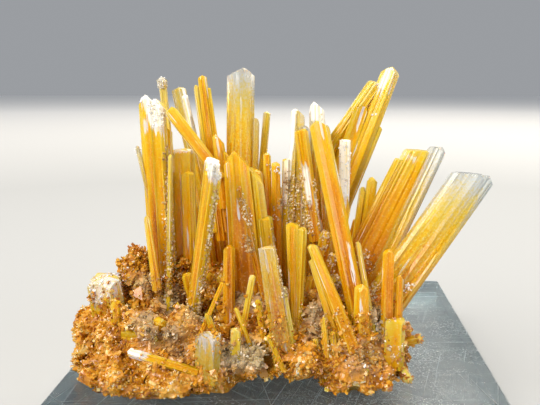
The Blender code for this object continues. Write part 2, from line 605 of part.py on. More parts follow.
def islands(bm):
    left = set(bm.faces)
    found = []
    while left:
        start = left.pop()
        island = [start]
        todo = [start]
        while todo:
            for edge in todo.pop().edges:
                for face in edge.link_faces:
                    if face in left:
                        left.remove(face)
                        island.append(face)
                        todo.append(face)
        found.append(island)
    return found


def keep_the_body(thing):
    """Leaves only the largest connected shell, with even small slivers merged and its faces outward."""
    bm = bmesh.new()
    bm.from_mesh(thing.data)
    bmesh.ops.remove_doubles(bm, verts=bm.verts, dist=0.00002)
    shells = sorted(islands(bm), key=lambda faces: sum(f.calc_area() for f in faces))
    for shell in shells[:-1]:
        bmesh.ops.delete(bm, geom=shell, context="FACES")
    bmesh.ops.triangulate(bm, faces=bm.faces[:])
    bmesh.ops.recalc_face_normals(bm, faces=bm.faces[:])
    bm.to_mesh(thing.data)
    bm.free()


def near(a, b, margin=0.001):
    boxes = []
    for thing in (a, b):
        places = [v.co for v in thing.data.vertices]
        low = [min(p[k] for p in places) for k in range(3)]
        high = [max(p[k] for p in places) for k in range(3)]
        boxes.append((low, high))
    (low_a, high_a), (low_b, high_b) = boxes
    return all(low_a[k] < high_b[k] + margin and low_b[k] < high_a[k] + margin for k in range(3))


def crystal_group(name, blades, grow=0.0):
    parts = [make_blade(f"{name}_{n}", spec, grow) for n, spec in enumerate(blades)]
    body = parts[0]
    body.name = name
    if parts[1:]:
        combine(body, parts[1:], "UNION")
    return body


def skyline(x):
    for (x0, z0), (x1, z1) in zip(INNER_SKYLINE, INNER_SKYLINE[1:]):
        if x0 <= x <= x1:
            return z0 + (z1 - z0) * (x - x0) / (x1 - x0)
    return 10.0


def apart(a, b, steps=9):
    """The least distance between the middle lines of two blades, less their half widths."""
    least = 1e9
    for i in range(steps + 1):
        p = Vector(a.foot).lerp(Vector(a.tip), i / steps)
        for j in range(steps + 1):
            q = Vector(b.foot).lerp(Vector(b.tip), j / steps)
            least = min(least, (p - q).length)
    return least - 0.25 * (a.width[0] + b.width[0] + a.thick[0] + b.thick[0])


def inner_blades(mains):
    """Blades of middling size that fill the heart of the cluster, leaning outwards like a fan."""
    chance = random.Random(41)
    found = []
    for _ in range(INNER_BLADE_TRIES):
        across = chance.uniform(-27, 22)
        deep = chance.uniform(-32, 2)
        lean = Vector(((across + 6) * 0.012, (deep + 16) * 0.013, 1.0)).normalized()
        foot = Vector((across, deep, 10.0))
        top = skyline(across + 20 * lean.x) * chance.uniform(0.7, 1.0)
        if deep < -26:
            top = min(top, 24)
        tip = foot + lean * (top - 10.0) / lean.z
        if top < 20 or tip.x < -29:
            continue
        wide = chance.uniform(2.2, 4.4)
        spec = Blade(
            tuple(foot), tuple(tip), (wide, wide * 0.85), (wide * 0.8, wide * 0.65),
            chance.uniform(-40, 40), 0.55, (0.0, 0.0),
            (chance.uniform(0.3, 1.1), chance.uniform(0.3, 1.1), 0.4, 0.5),
        )
        if all(apart(spec, other) > 0.35 for other in mains) and all(apart(spec, f) > -1.2 for f in found):
            found.append(spec)
        if len(found) == INNER_BLADE_COUNT:
            break
    return found


def druse(body):
    """Short crystals standing all over the base's own surface."""
    chance = random.Random(7)
    faces = [f for f in body.data.polygons if f.center.z > (BLOCK_HEIGHT + 1.5) * MM]
    weights = [f.area for f in faces]
    found = []
    for n, face in enumerate(chance.choices(faces, weights, k=DRUSE_COUNT)):
        place = face.center / MM - Vector((0.0, 0.0, BLOCK_HEIGHT))
        away = Vector(face.normal) + Vector([chance.uniform(-0.5, 0.5) for _ in range(3)])
        away.z = abs(away.z) * 0.5 + 0.5
        away.normalize()
        long = chance.uniform(*DRUSE_LENGTH)
        wide = chance.uniform(*DRUSE_WIDTH)
        turn = chance.uniform(0, 90)
        found.append(make_stub(f"druse_{n}", place - away * 1.2, away, long + 1.2, wide, turn))
    return found


def ball_cutter(name, centre, size):
    bm = bmesh.new()
    bmesh.ops.create_icosphere(bm, subdivisions=3, radius=1.0)
    place = Matrix.Translation(Vector(centre) + Vector((0.0, 0.0, BLOCK_HEIGHT)))
    stretch = Matrix.Diagonal((*size, 1.0))
    bmesh.ops.transform(bm, matrix=Matrix.Scale(MM, 4) @ place @ stretch, verts=bm.verts)
    return new_object(name, bm)


def box_cutter(name, low, high):
    bm = bmesh.new()
    bmesh.ops.create_cube(bm, size=1.0)
    stretch = Matrix.Diagonal((*(Vector(high) - Vector(low)), 1.0))
    place = Matrix.Translation((Vector(high) + Vector(low)) / 2)
    bmesh.ops.transform(bm, matrix=Matrix.Scale(MM, 4) @ place @ stretch, verts=bm.verts)
    return new_object(name, bm)


def make_block():
    bm = bmesh.new()
    bmesh.ops.create_cube(bm, size=1.0)
    size = Matrix.Diagonal((BLOCK_WIDTH, BLOCK_DEPTH, BLOCK_HEIGHT, 1.0))
    place = Matrix.Translation((0.0, 0.0, BLOCK_HEIGHT / 2))
    bmesh.ops.transform(bm, matrix=Matrix.Scale(MM, 4) @ place @ size, verts=bm.verts)
    bmesh.ops.bevel(
        bm,
        geom=bm.edges[:],
        offset=BLOCK_EDGE * MM,
        segments=2,
        profile=0.5,
        affect="EDGES",
        material=-1,
    )
    block = new_object("display_block", bm)
    block.data.materials.append(plain_material("cast_acrylic", (0.93, 0.95, 0.96), 0.05, 1.0, 1.49))
    return block


def make_crystals():
    made = []
    for name, blades, colour, clear in CRYSTALS:
        crystal = crystal_group(name, blades)
        cutters = []
        for other_name, other_blades in made:
            other = bpy.data.objects[other_name]
            if near(crystal, other):
                cutters.append(crystal_group("cutter", other_blades, GAP))
        if cutters:
            combine(crystal, cutters, "DIFFERENCE")
        keep_the_body(crystal)
        crystal.data.materials.clear()
        crystal.data.materials.append(plain_material(name + "_gypsum", colour, 0.15, clear))
        made.append((name, blades))
    return made


def make_base(made):
    mains = [spec for _, blades in made for spec in blades]
    parts = [make_lump(f"lump_{n}", spec, n + 1) for n, spec in enumerate(LUMPS)]
    body = parts[0]
    body.name = "drusy_base"
    combine(body, parts[1:], "UNION")
    grown = druse(body)
    grown += [make_blade(f"stub_{n}", spec) for n, spec in enumerate(BASE_CRYSTALS)]
    grown += [make_blade(f"inner_{n}", spec) for n, spec in enumerate(inner_blades(mains))]
    combine(body, grown, "UNION")
    cutters = [crystal_group("cutter", blades, GAP) for _, blades in made]
    cutters.append(ball_cutter("arch", ARCH_CENTRE, ARCH_SIZE))
    cutters.append(box_cutter("under", (-90.0, -90.0, -20.0), (90.0, 90.0, BLOCK_HEIGHT + GAP)))
    combine(body, cutters, "DIFFERENCE")
    keep_the_body(body)
    body.data.materials.clear()
    body.data.materials.append(plain_material("drusy_gypsum_crust", (0.80, 0.48, 0.16), 0.5, 0.0))
    return body


def main():
    remove_everything()
    make_block()
    made = make_crystals()
    make_base(made)


main()
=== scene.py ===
import math
import random
from collections import namedtuple

import bmesh
import bpy
import numpy as np
from mathutils import Matrix, Vector, noise


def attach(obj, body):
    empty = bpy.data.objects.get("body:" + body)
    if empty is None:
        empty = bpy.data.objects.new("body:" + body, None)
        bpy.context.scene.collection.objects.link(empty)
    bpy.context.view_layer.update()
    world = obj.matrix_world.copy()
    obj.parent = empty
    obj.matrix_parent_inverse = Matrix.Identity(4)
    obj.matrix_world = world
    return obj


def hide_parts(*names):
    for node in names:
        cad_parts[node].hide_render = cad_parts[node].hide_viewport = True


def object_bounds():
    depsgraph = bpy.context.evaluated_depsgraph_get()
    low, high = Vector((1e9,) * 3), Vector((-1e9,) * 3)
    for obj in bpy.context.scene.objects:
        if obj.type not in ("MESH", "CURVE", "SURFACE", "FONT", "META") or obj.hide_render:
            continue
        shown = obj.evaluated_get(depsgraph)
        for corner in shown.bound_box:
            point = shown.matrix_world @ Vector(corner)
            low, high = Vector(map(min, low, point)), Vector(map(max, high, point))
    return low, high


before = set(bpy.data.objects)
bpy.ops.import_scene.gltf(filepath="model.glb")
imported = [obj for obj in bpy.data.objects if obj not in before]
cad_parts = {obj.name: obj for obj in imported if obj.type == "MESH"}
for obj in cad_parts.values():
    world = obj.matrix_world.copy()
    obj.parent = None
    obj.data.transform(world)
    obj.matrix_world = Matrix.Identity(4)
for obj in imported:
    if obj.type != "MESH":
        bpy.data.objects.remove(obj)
at_load = [list(corner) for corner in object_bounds()]

MM = 0.001
BLOCK_WIDTH = 100.0
BLOCK_HEIGHT = 16.0
BLOCK_EDGE = 0.4
# the base stands so far over the block on its low points, with an arch under its front
GAP = 0.3
ARCH_CENTRE = (0.5, -41.0)
ARCH_SIZE = (11.0, 15.0, 3.4)
LUMP_ROUGHNESS = 0.3
CRUST_VOXEL = 0.62
CRUST_CRAG = 0.7
# blades: rings along them, ribs round them in the map, the tone from which they are clear, and their chips
RING_STEP = 2.6
RIB_PITCH = 0.5
TONE_POWER = 1.9
CLEAR_TONE = 0.66
CHIPPED_WIDTH = 6.4
FULL_TURN = 6.28
# the inner blades: where they stand, and how near they come to the others and to each other
INNER_SEED = 41
INNER_TRIES = 900
INNER_COUNT = 60
INNER_ACROSS = (-27, 22)
INNER_DEEP = (-32, 2)
INNER_FOOT = 10.0
INNER_LEAST_TOP = 20
INNER_LEFT = -29
INNER_GAP = 0.35
INNER_OVERLAP = 1.2
# druse: how many points each layer is tried on, with the seed that strews them
SLAB_POINTS = (700, 10)
LATH_POINTS = (7500, 11)
FINE_POINTS = (10500, 12)
FINEST_POINTS = (14000, 13)
SEAM_POINTS = (260000, 14)
ROOT_POINTS = (62000, 15)
# druse climbs the crystals' roots to this height, by the place across, with a wave, and thins out below it
ROOT_LINE = [(-40, 39), (-30, 41), (-20, 39), (-8, 36), (10, 36), (30, 34)]
ROOT_WAVE = 9
ROOT_WAVE_SCALE = 0.2
ROOT_THINNING = 9
ROOT_SHARE = 0.8
ROOT_SEED = 16
# grains keep this far from the frame's sides and from the block's top
SIDE_MARGIN = 0.5
FOOT_MARGIN = 0.9
TIP_MARGIN = 0.8
# a grain of unit size: the plane that slants its end, and how far its middle stands out
GRAIN_CUT = ((0.1, 0.1, 0.32), (0.8, 0.45, 1.0))
GRAIN_LIFT = (0.0, 0.0, 0.22)
GYPSUM_IOR = 1.52
ACRYLIC_IOR = 1.49
ACRYLIC_TINT = "d6e6ea"
ACRYLIC_DENSITY = 3.0
# the sets of scratches on the block's top: which way each runs, and the noise above which it shows
SCRATCHES = ((0.25, 0.70), (1.45, 0.70), (2.3, 0.72), (2.9, 0.74))
VIEW = "Standard"

# the camera stands where the block's edges in the photograph put it
CAMERA_PLACE = (7.8, -183.9, 84.7)
CAMERA_DOWN = 10.2
CAMERA_LEFT = 3.7
CAMERA_LENS = 46.7
CAMERA_SENSOR = 36.0

# the studio: its light boxes with place, size, power and colour, all of them turned to LIGHT_AIM
FLOOR_SIZE = 3.0
FLOOR_DROP = 0.1
SKY = ("e4e8ee", 0.42)
LIGHT_AIM = (0, 0, 0.05)
LIGHTS = [
    ("key_softbox", (-0.75, -0.85, 1.00), (1.10, 1.10), 32.0, "fffaf2"),
    ("back_softbox", (0.40, 0.60, 1.20), (1.10, 0.80), 28.0, "fff6e6"),
    ("side_fill", (1.10, -0.70, 0.40), (0.80, 0.80), 7.0, "f2f6ff"),
]

Blade = namedtuple(
    "Blade",
    "foot tip width thick turn flat roof apex",
    defaults=(0.0, 0.6, (0.6, 0.6, 0.5, 0.5), (0.0, 0.0)),
)
Lump = namedtuple("Lump", "centre size")


def make_blades(*rows):
    return [Blade(*row) for row in rows]


def make_lumps(*rows):
    return [Lump(*row) for row in rows]


# Each group of blades that is one piece: its CAD node, its number of ribs, how far the colour has cleared
# from deep orange (0) to colourless (1) at the foot and at the tip, with how late on the way it clears, the
# same for single blades that differ, and its blades
Group = namedtuple("Group", "node ribs tones single blades")
GROUPS = []


def add_group(node, ribs, tones, single, *rows):
    GROUPS.append(Group(node, ribs, tones, single, make_blades(*rows)))


add_group(
    "tall_centre_prism", 30, (0.24, 1.14, 6.0), {1: (0.30, 0.70)},
    ((-10.8, -16, 14), (-10.5, -12, 70.8), (7.4, 7.1), (5, 4.6),
     16, 0.62, (0.56, 0.66, 0.2, 0.55), (0.6, -0.3)),
    ((-7.3, -16.6, 20), (-6.5, -13.4, 58.8), (1.9, 1.5), (2.2, 1.8), 0, 0.5, (0.2, 0.8, 0.4, 0.4), (-0.2, 0)),
)
add_group(
    "left_sheaf", 24, (0.12, 0.46),
    {1: (0.16, 0.50), 3: (0.40, 0.80), 5: (0.26, 0.46, 1.3), 6: (0.24, 0.46), 7: (0.35, 0.60)},
    ((-28.4, -26, 10), (-31.9, -21, 64.4), (3.6, 3.2), (4.4, 3.4), 14, 0.5, (1.3, 0.9, 0.6, 0.6)),
    ((-26, -26.6, 10), (-29.3, -20.6, 63.6), (4.4, 3.9), (4.8, 3.8),
     -8, 0.6, (0.5, 1.2, 0.5, 0.6), (-0.2, 0)),
    ((-27, -24, 12), (-27.9, -18, 57), (4.2, 3), (5, 3.6), 20, 0.5, (0.7, 0.9, 0.5, 0.5)),
    ((-28.6, -24.6, 32), (-33.9, -22.4, 52.8), (2, 1.1), (1.8, 1.2), 0, 0.5, (0.8, 1.6, 0.4, 0.4)),
    ((-28.4, -29.6, 20), (-30.6, -28.6, 37.4), (2.2, 1.4), (2.2, 1.4),
     30, 0.5, (1.2, 0.5, 0.4, 0.4), (0.2, 0)),
    ((-23.4, -21, 10), (-24.5, -16.6, 51.6), (6.4, 6.2), (4.4, 3.8),
     6, 0.66, (0.12, 0.2, 0.5, 0.4), (0.8, 0)),
    ((-21.6, -23.6, 10), (-22.4, -20.4, 46.5), (3.8, 3.4), (3.4, 2.6), -14, 0.6, (0.5, 0.4, 0.3, 0.3)),
    ((-26, -29, 10), (-25.6, -24.2, 51), (1.8, 1.2), (2.4, 1.6), 0, 0.5, (0.8, 0.8, 0.4, 0.4)),
)
add_group(
    "orange_needle_bundle", 18, (0.10, 0.34), {1: (0.3, 0.62), 5: (0.22, 0.44)},
    ((-14.2, -21.4, 30), (-19.2, -16.6, 69), (2.5, 2.1), (2.4, 2), 12, 0.5, (0.5, 0.5, 0.4, 0.4)),
    ((-15.6, -21.2, 32), (-20.7, -16.2, 66.8), (1.7, 1.4), (2, 1.5), 0, 0.5, (0.4, 0.7, 0.4, 0.4), (-0.1, 0)),
    ((-13.2, -21, 32), (-18.1, -16.6, 66.2), (2.3, 2), (2, 1.6), -18, 0.5, (0.6, 0.5, 0.3, 0.3)),
    ((-12.8, -21.4, 38), (-15.2, -20.4, 55.4), (3.8, 2.6), (2.4, 2),
     10, 0.5, (0.6, 1.4, 0.4, 0.4), (-0.4, 0)),
    ((-12.2, -21.2, 36), (-13.6, -20.8, 51.8), (3, 2), (2.2, 2), -15, 0.5, (0.6, 1.2, 0.3, 0.3), (-0.2, 0)),
    ((-14, -21.6, 45.2), (-26, -23, 61.4), (3, 2.8), (2.2, 1.9), 8, 0.66, (0.1, 0.9, 0.4, 0.3), (0.7, 0)),
)
add_group(
    "broad_wedge", 28, (0.05, 0.40), {1: (0.10, 0.52), 3: (0.06, 0.12)},
    ((-6.6, -26.6, 10), (-9.9, -26.6, 52.2), (9.4, 6.2), (5.4, 3.4),
     10, 0.7, (1.1, 1.3, 0.3, 0.3), (-0.6, 0)),
    ((-3.8, -25.4, 10), (-7.2, -25.8, 48.4), (8, 5), (4.6, 3), -8, 0.66, (0.6, 1.5, 0.3, 0.3)),
    ((-2.4, -23.6, 14), (-5.8, -20.6, 47.2), (3.4, 2), (3.6, 2.2), 0, 0.5, (0.3, 0.9, 0.4, 0.4)),
    ((-3, -28.6, 16), (-9.4, -28, 44.6), (1.8, 1.4), (2, 1.3), 0, 0.5, (0.7, 0.7, 0.3, 0.3)),
    ((-1.6, -25.6, 14), (-4, -25.8, 37), (5, 4.4), (4.2, 3.4), 15, 0.6, (0.1, 0.3, 0.3, 0.3), (0.4, 0)),
)
add_group(
    "pale_pair", 26, (0.24, 0.84), {2: (0.16, 0.36), 3: (0.24, 0.90), 4: (0.22, 0.70), 5: (0.30, 0.62)},
    ((3, -20.8, 14), (3.6, -16.6, 61.2), (5.4, 3.3), (4.4, 3.2), 22, 0.55, (0.7, 0.9, 0.5, 0.5), (-0.5, 0)),
    ((5, -19.8, 16), (5, -17.2, 57.4), (4.2, 3.2), (3.6, 3), -12, 0.55, (0.5, 0.7, 0.4, 0.4)),
    ((8.2, -20.2, 30), (4.4, -19.8, 56.6), (3, 3.3), (2.4, 2.2), 0, 0.66, (0.25, 0.2, 0.3, 0.3), (0.5, 0)),
    ((10.4, -18.4, 16), (7.9, -13.6, 62.8), (6.2, 3.4), (4.2, 2.8), 12, 0.6, (2.2, 0.9, 0.6, 0.5), (-0.6, 0)),
    ((12.6, -17.8, 20), (9.9, -14.4, 57.6), (4.2, 2.8), (3.6, 2.6), -14, 0.5, (0.7, 1.3, 0.4, 0.4)),
    ((1, -19.8, 14), (1.3, -17.8, 49.6), (3, 2.4), (3.4, 2.8), 30, 0.5, (0.8, 0.6, 0.3, 0.3)),
)
add_group(
    "upper_fan", 26, (0.18, 0.62), {2: (0.14, 0.40), 3: (0.12, 0.32), 4: (0.20, 0.44)},
    ((5.6, -12, 14), (26.5, -8.2, 71), (5.4, 4.6), (4.4, 3.8), -14, 0.5, (0.6, 0.7, 0.5, 0.5)),
    ((1, -11.1, 35.6), (22.7, -8.3, 67.6), (4.2, 3.9), (3.4, 3.2), 12, 0.55, (0.5, 0.5, 0.5, 0.4), (0.6, 0)),
    ((3.6, -11.8, 14), (19.2, -8.8, 62), (6.4, 5.2), (4.2, 3.6), 5, 0.6, (0.5, 0.6, 0.4, 0.4), (0.6, 0)),
    ((2.6, -11.4, 14), (13.9, -9.2, 55.2), (4.2, 3.8), (3.6, 3.2), 20, 0.55, (0.5, 0.6, 0.4, 0.4)),
    ((13.6, -10.6, 32), (23.7, -9.2, 56.6), (3, 1.6), (2.8, 1.8), 0, 0.5, (0.7, 0.9, 0.3, 0.3), (0.2, 0)),
)
add_group(
    "lower_fan", 30, (0.22, 1.08, 2.9), {1: (0.24, 1.12, 2.9)},
    ((19.2, -28, 12), (44.4, -20.6, 47.8), (7.4, 7.2), (4.2, 4.4), 6, 0.7, (0.62, 0.5, 0.4, 0.4), (2.2, 0)),
    ((23.4, -27.8, 12), (47.6, -20.2, 46.4), (4.6, 4.8), (4.4, 4.4),
     -10, 0.6, (0.55, 0.8, 0.5, 0.4), (0.7, -0.2)),
)
add_group(
    "middle_fan", 30, (0.13, 0.60, 3.2), {1: (0.26, 1.00), 2: (0.15, 0.50, 3.0)},
    ((14.2, -21.8, 14), (32.8, -16.8, 52.2), (8.2, 7.4), (4.2, 3.8), 6, 0.7, (0.46, 0.5, 0.4, 0.3), (1.6, 0)),
    ((19.2, -21.8, 14), (36.9, -16.6, 52.7), (4.8, 4.4), (4.8, 4.4),
     -8, 0.6, (0.45, 0.9, 0.5, 0.4), (1, -0.2)),
    ((12, -21.2, 16), (28.4, -17, 49.6), (4, 3.4), (3.6, 3), 16, 0.55, (0.5, 0.4, 0.4, 0.3), (0.4, 0)),
)
add_group(
    "long_front_blade", 24, (0.15, 0.48, 2.0), {2: (0.40, 0.65)},
    ((19.2, -33.8, 9), (8.2, -26.6, 59.1), (4.5, 4.4), (3.4, 3),
     12, 0.62, (0.9, 0.62, 0.5, 0.4), (-0.3, -0.2)),
    ((19.4, -32.4, 10), (10.6, -25.8, 53.4), (3, 2), (2.8, 2), -18, 0.5, (0.6, 0.8, 0.4, 0.4)),
    ((21.6, -32.6, 10), (17.6, -29.2, 32.2), (1.8, 1.1), (2.2, 1.4), 0, 0.5, (0.6, 1, 0.3, 0.3)),
)
add_group(
    "sugar_capped_prism", 22, (0.26, 0.46), {},
    ((-20.8, -31.4, 10), (-14.3, -34, 51.4), (2.4, 3.9), (2.8, 3.4),
     -16, 0.55, (0.3, 0.5, 0.5, 0.5), (-0.6, 0)),
    ((-19.6, -30.2, 12), (-13.5, -33.4, 48.6), (2, 2.6), (2, 2.4), 24, 0.5, (0.5, 0.6, 0.4, 0.4), (0.2, 0)),
)
add_group(
    "clear_topped_prism", 22, (0.20, 0.70, 3.0), {1: (0.24, 0.48)},
    ((2, -38.6, 5), (-2.4, -36, 32.4), (5, 3.7), (3.6, 3), 12, 0.68, (0.12, 0.16, 0.4, 0.3), (-0.3, 0)),
    ((3.6, -37.8, 5), (0.5, -35.8, 23.4), (3.2, 2.4), (3, 2.4), -14, 0.6, (0.2, 0.6, 0.3, 0.3), (0.2, 0)),
)
add_group(
    "tapering_amber_prism", 24, (0.20, 0.44), {},
    ((3.7, -34, 7), (3, -31.6, 36.8), (1.6, 3.6), (2.4, 3), 10, 0.62, (0.4, 0.4, 0.3, 0.3), (-0.3, 0)),
    ((4.2, -33.6, 7), (4.9, -31.4, 35.8), (1.6, 3.2), (2.4, 3.2), -12, 0.62, (0.4, 0.6, 0.3, 0.3), (0.2, 0)),
)
add_group(
    "front_right_blade", 20, (0.18, 0.50), {},
    ((17, -37, 9), (7.1, -32.4, 32.2), (3.8, 2.2), (3, 2), 6, 0.6, (0.5, 0.6, 0.4, 0.3), (-0.2, 0)),
    ((14.4, -35.8, 8), (7.2, -31.8, 28.6), (2.6, 1.6), (2.6, 1.8), -10, 0.5, (0.5, 0.7, 0.3, 0.3)),
)
add_group(
    "round_topped_prism", 18, (0.06, 0.24), {},
    ((-11.4, -32.6, 8), (-11.4, -30.8, 31.4), (2.9, 2.5), (2.6, 2.2), 10, 0.5, (0.7, 0.7, 0.6, 0.5)),
)
add_group(
    "knob_tipped_prism", 18, (0.30, 0.58), {1: (0.70, 0.85)},
    ((-26, -10, 14), (-30.6, -8, 68), (2.2, 1.9), (2.2, 1.9), 10, 0.55, (0.3, 0.3, 0.3, 0.3)),
    ((-30.45, -8.1, 65.9), (-30.7, -7.95, 68.6), (2.6, 2.4), (2.5, 2.3), 25, 0.6, (0.6, 0.6, 0.5, 0.5)),
)
add_group(
    "pale_striated_blade", 26, (0.34, 0.72), {},
    ((-17.4, -8.6, 24), (-27, -5.8, 66), (4.4, 3.6), (2.6, 2.2), 18, 0.7, (0.25, 0.35, 0.6, 0.4), (0.2, 0)),
    ((-16.2, -9, 24), (-25.3, -6.6, 64.2), (2.6, 1.6), (2.6, 1.9), -10, 0.5, (0.4, 0.8, 0.5, 0.4)),
)
add_group(
    "pale_tipped_needle", 18, (0.14, 0.66), {},
    ((-7.4, -11.4, 22), (-4.2, -9.6, 60.2), (2.1, 2), (2, 1.9), 20, 0.5, (0.5, 0.5, 0.5, 0.5)),
)
add_group(
    "short_pale_block", 20, (0.12, 0.54), {},
    ((14.2, -22.6, 20), (14.7, -21.6, 54.4), (2.9, 2.8), (2.4, 2.2), 8, 0.7, (0.1, 0.12, 0.4, 0.3)),
)
add_group(
    "small_jagged_crystal", 18, (0.14, 0.50), {},
    ((18.8, -15.6, 20), (21.8, -14.8, 44.8), (3.8, 2.6), (2.4, 2), 10, 0.5, (0.9, 0.9, 0.5, 0.4)),
    ((17, -15.4, 20), (19.6, -14.8, 42.4), (2.6, 1.8), (2.2, 1.8), -10, 0.5, (0.7, 0.9, 0.4, 0.4)),
)
add_group(
    "amber_bundle", 16, (0.20, 0.38), {},
    ((11.6, -39, 1), (10, -36.6, 16.8), (1.7, 1.3), (2, 1.4), 0, 0.5, (0.6, 0.6, 0.3, 0.3)),
    ((13.2, -38.4, 2), (12, -36.4, 13.6), (1.8, 1.4), (2, 1.6), 20, 0.5, (0.6, 0.6, 0.3, 0.3)),
    ((10.2, -38.6, 2), (8.2, -36.6, 12), (1.6, 1.2), (2, 1.4), -20, 0.5, (0.6, 0.6, 0.3, 0.3)),
)
add_group(
    "back_left_blades", 22, (0.14, 0.60), {},
    ((-24, -4, 8), (-31, 9, 38), (4, 3.6), (3, 2.6), 20, 0.6, (0.5, 0.5, 0.4, 0.4), (0.3, 0)),
    ((-21, -3.6, 8), (-27.6, 7.6, 43), (4.2, 3.8), (3.4, 2.8), -10, 0.6, (0.6, 0.4, 0.4, 0.4)),
    ((-26.6, -5, 8), (-36, 6, 31), (3.6, 3), (3, 2.4), 35, 0.5, (0.6, 0.6, 0.4, 0.4)),
)
add_group(
    "back_centre_blades", 22, (0.14, 0.72), {},
    ((-6, -1, 8), (-9.4, 9.6, 45), (5.6, 5), (3.6, 3.2), 8, 0.66, (0.5, 0.6, 0.4, 0.4), (0.4, 0)),
    ((-2.4, -1.4, 8), (-3, 8, 39), (4.6, 4), (3.6, 3), -16, 0.6, (0.5, 0.5, 0.4, 0.4)),
    ((-9, 0.6, 8), (-15, 12.6, 33), (4, 3.4), (3, 2.6), 24, 0.5, (0.7, 0.5, 0.4, 0.4)),
)
add_group(
    "back_right_blades", 22, (0.14, 0.64), {},
    ((11, 0, 8), (17, 10, 40), (5, 4.4), (3.4, 3), -12, 0.62, (0.4, 0.6, 0.4, 0.4), (0.2, 0)),
    ((14.6, -1, 8), (24.6, 8.4, 34.6), (4.4, 3.8), (3.2, 2.8), 14, 0.6, (0.6, 0.5, 0.4, 0.4)),
)

# the body of the drusy base
LUMPS = make_lumps(
    ((-37.6, -24, 6.6), (11.6, 14, 10.2)),
    ((-30, -34, 5), (13, 12.6, 10.4)),
    ((-29, -20, 13), (10.6, 12, 14)),
    ((-17, -34, 5), (9.6, 10.6, 10)),
    ((-10, -20, 9), (15, 16, 13.6)),
    ((3, -25, 9), (12.6, 14, 11)),
    ((16.4, -30, 5), (11.6, 9.8, 10)),
    ((20.6, -19, 6), (10, 12.6, 12)),
    ((-6, -4, 7), (20, 13, 12)),
    ((-29, -6, 6), (13, 12, 10)),
    ((14, -5, 6), (12, 12, 11)),
    ((-34.2, -25.2, 23.6), (4.2, 4.6, 5.4)),
    ((-46.4, -21, 9.6), (4.4, 6, 4)),
    ((-47.6, -20.4, 3), (3.8, 5.4, 3.6)),
    ((-43.4, -31.4, 3), (4.8, 6, 4.6)),
    ((-35.4, -42, 4), (6, 5.6, 5)),
    ((-37.4, -35.8, 11), (5, 4.8, 4.2)),
    ((-24, -43.4, 4), (6.6, 4.8, 5)),
    ((-15, -42, 6), (4.6, 4.2, 5.4)),
    ((-30, -37, 14.6), (5, 4, 3.6)),
    ((-21, -35.8, 14), (4, 3.6, 3.8)),
    ((-7, -37.4, 7), (5.4, 5, 4.8)),
    ((5.6, -38.2, 7), (6, 4.8, 4.4)),
    ((16.4, -38, 4.6), (6, 4.4, 4.8)),
    ((25, -29.6, 9), (5, 5, 6)),
    ((26, -26.4, 3.6), (5, 5.4, 4.6)),
    ((18.4, -29, 15), (5.4, 4.6, 5.4)),
    ((-16, -26, 19.6), (4.6, 4.6, 5.2)),
    ((11, -27.4, 16.4), (5, 5, 5.4)),
)

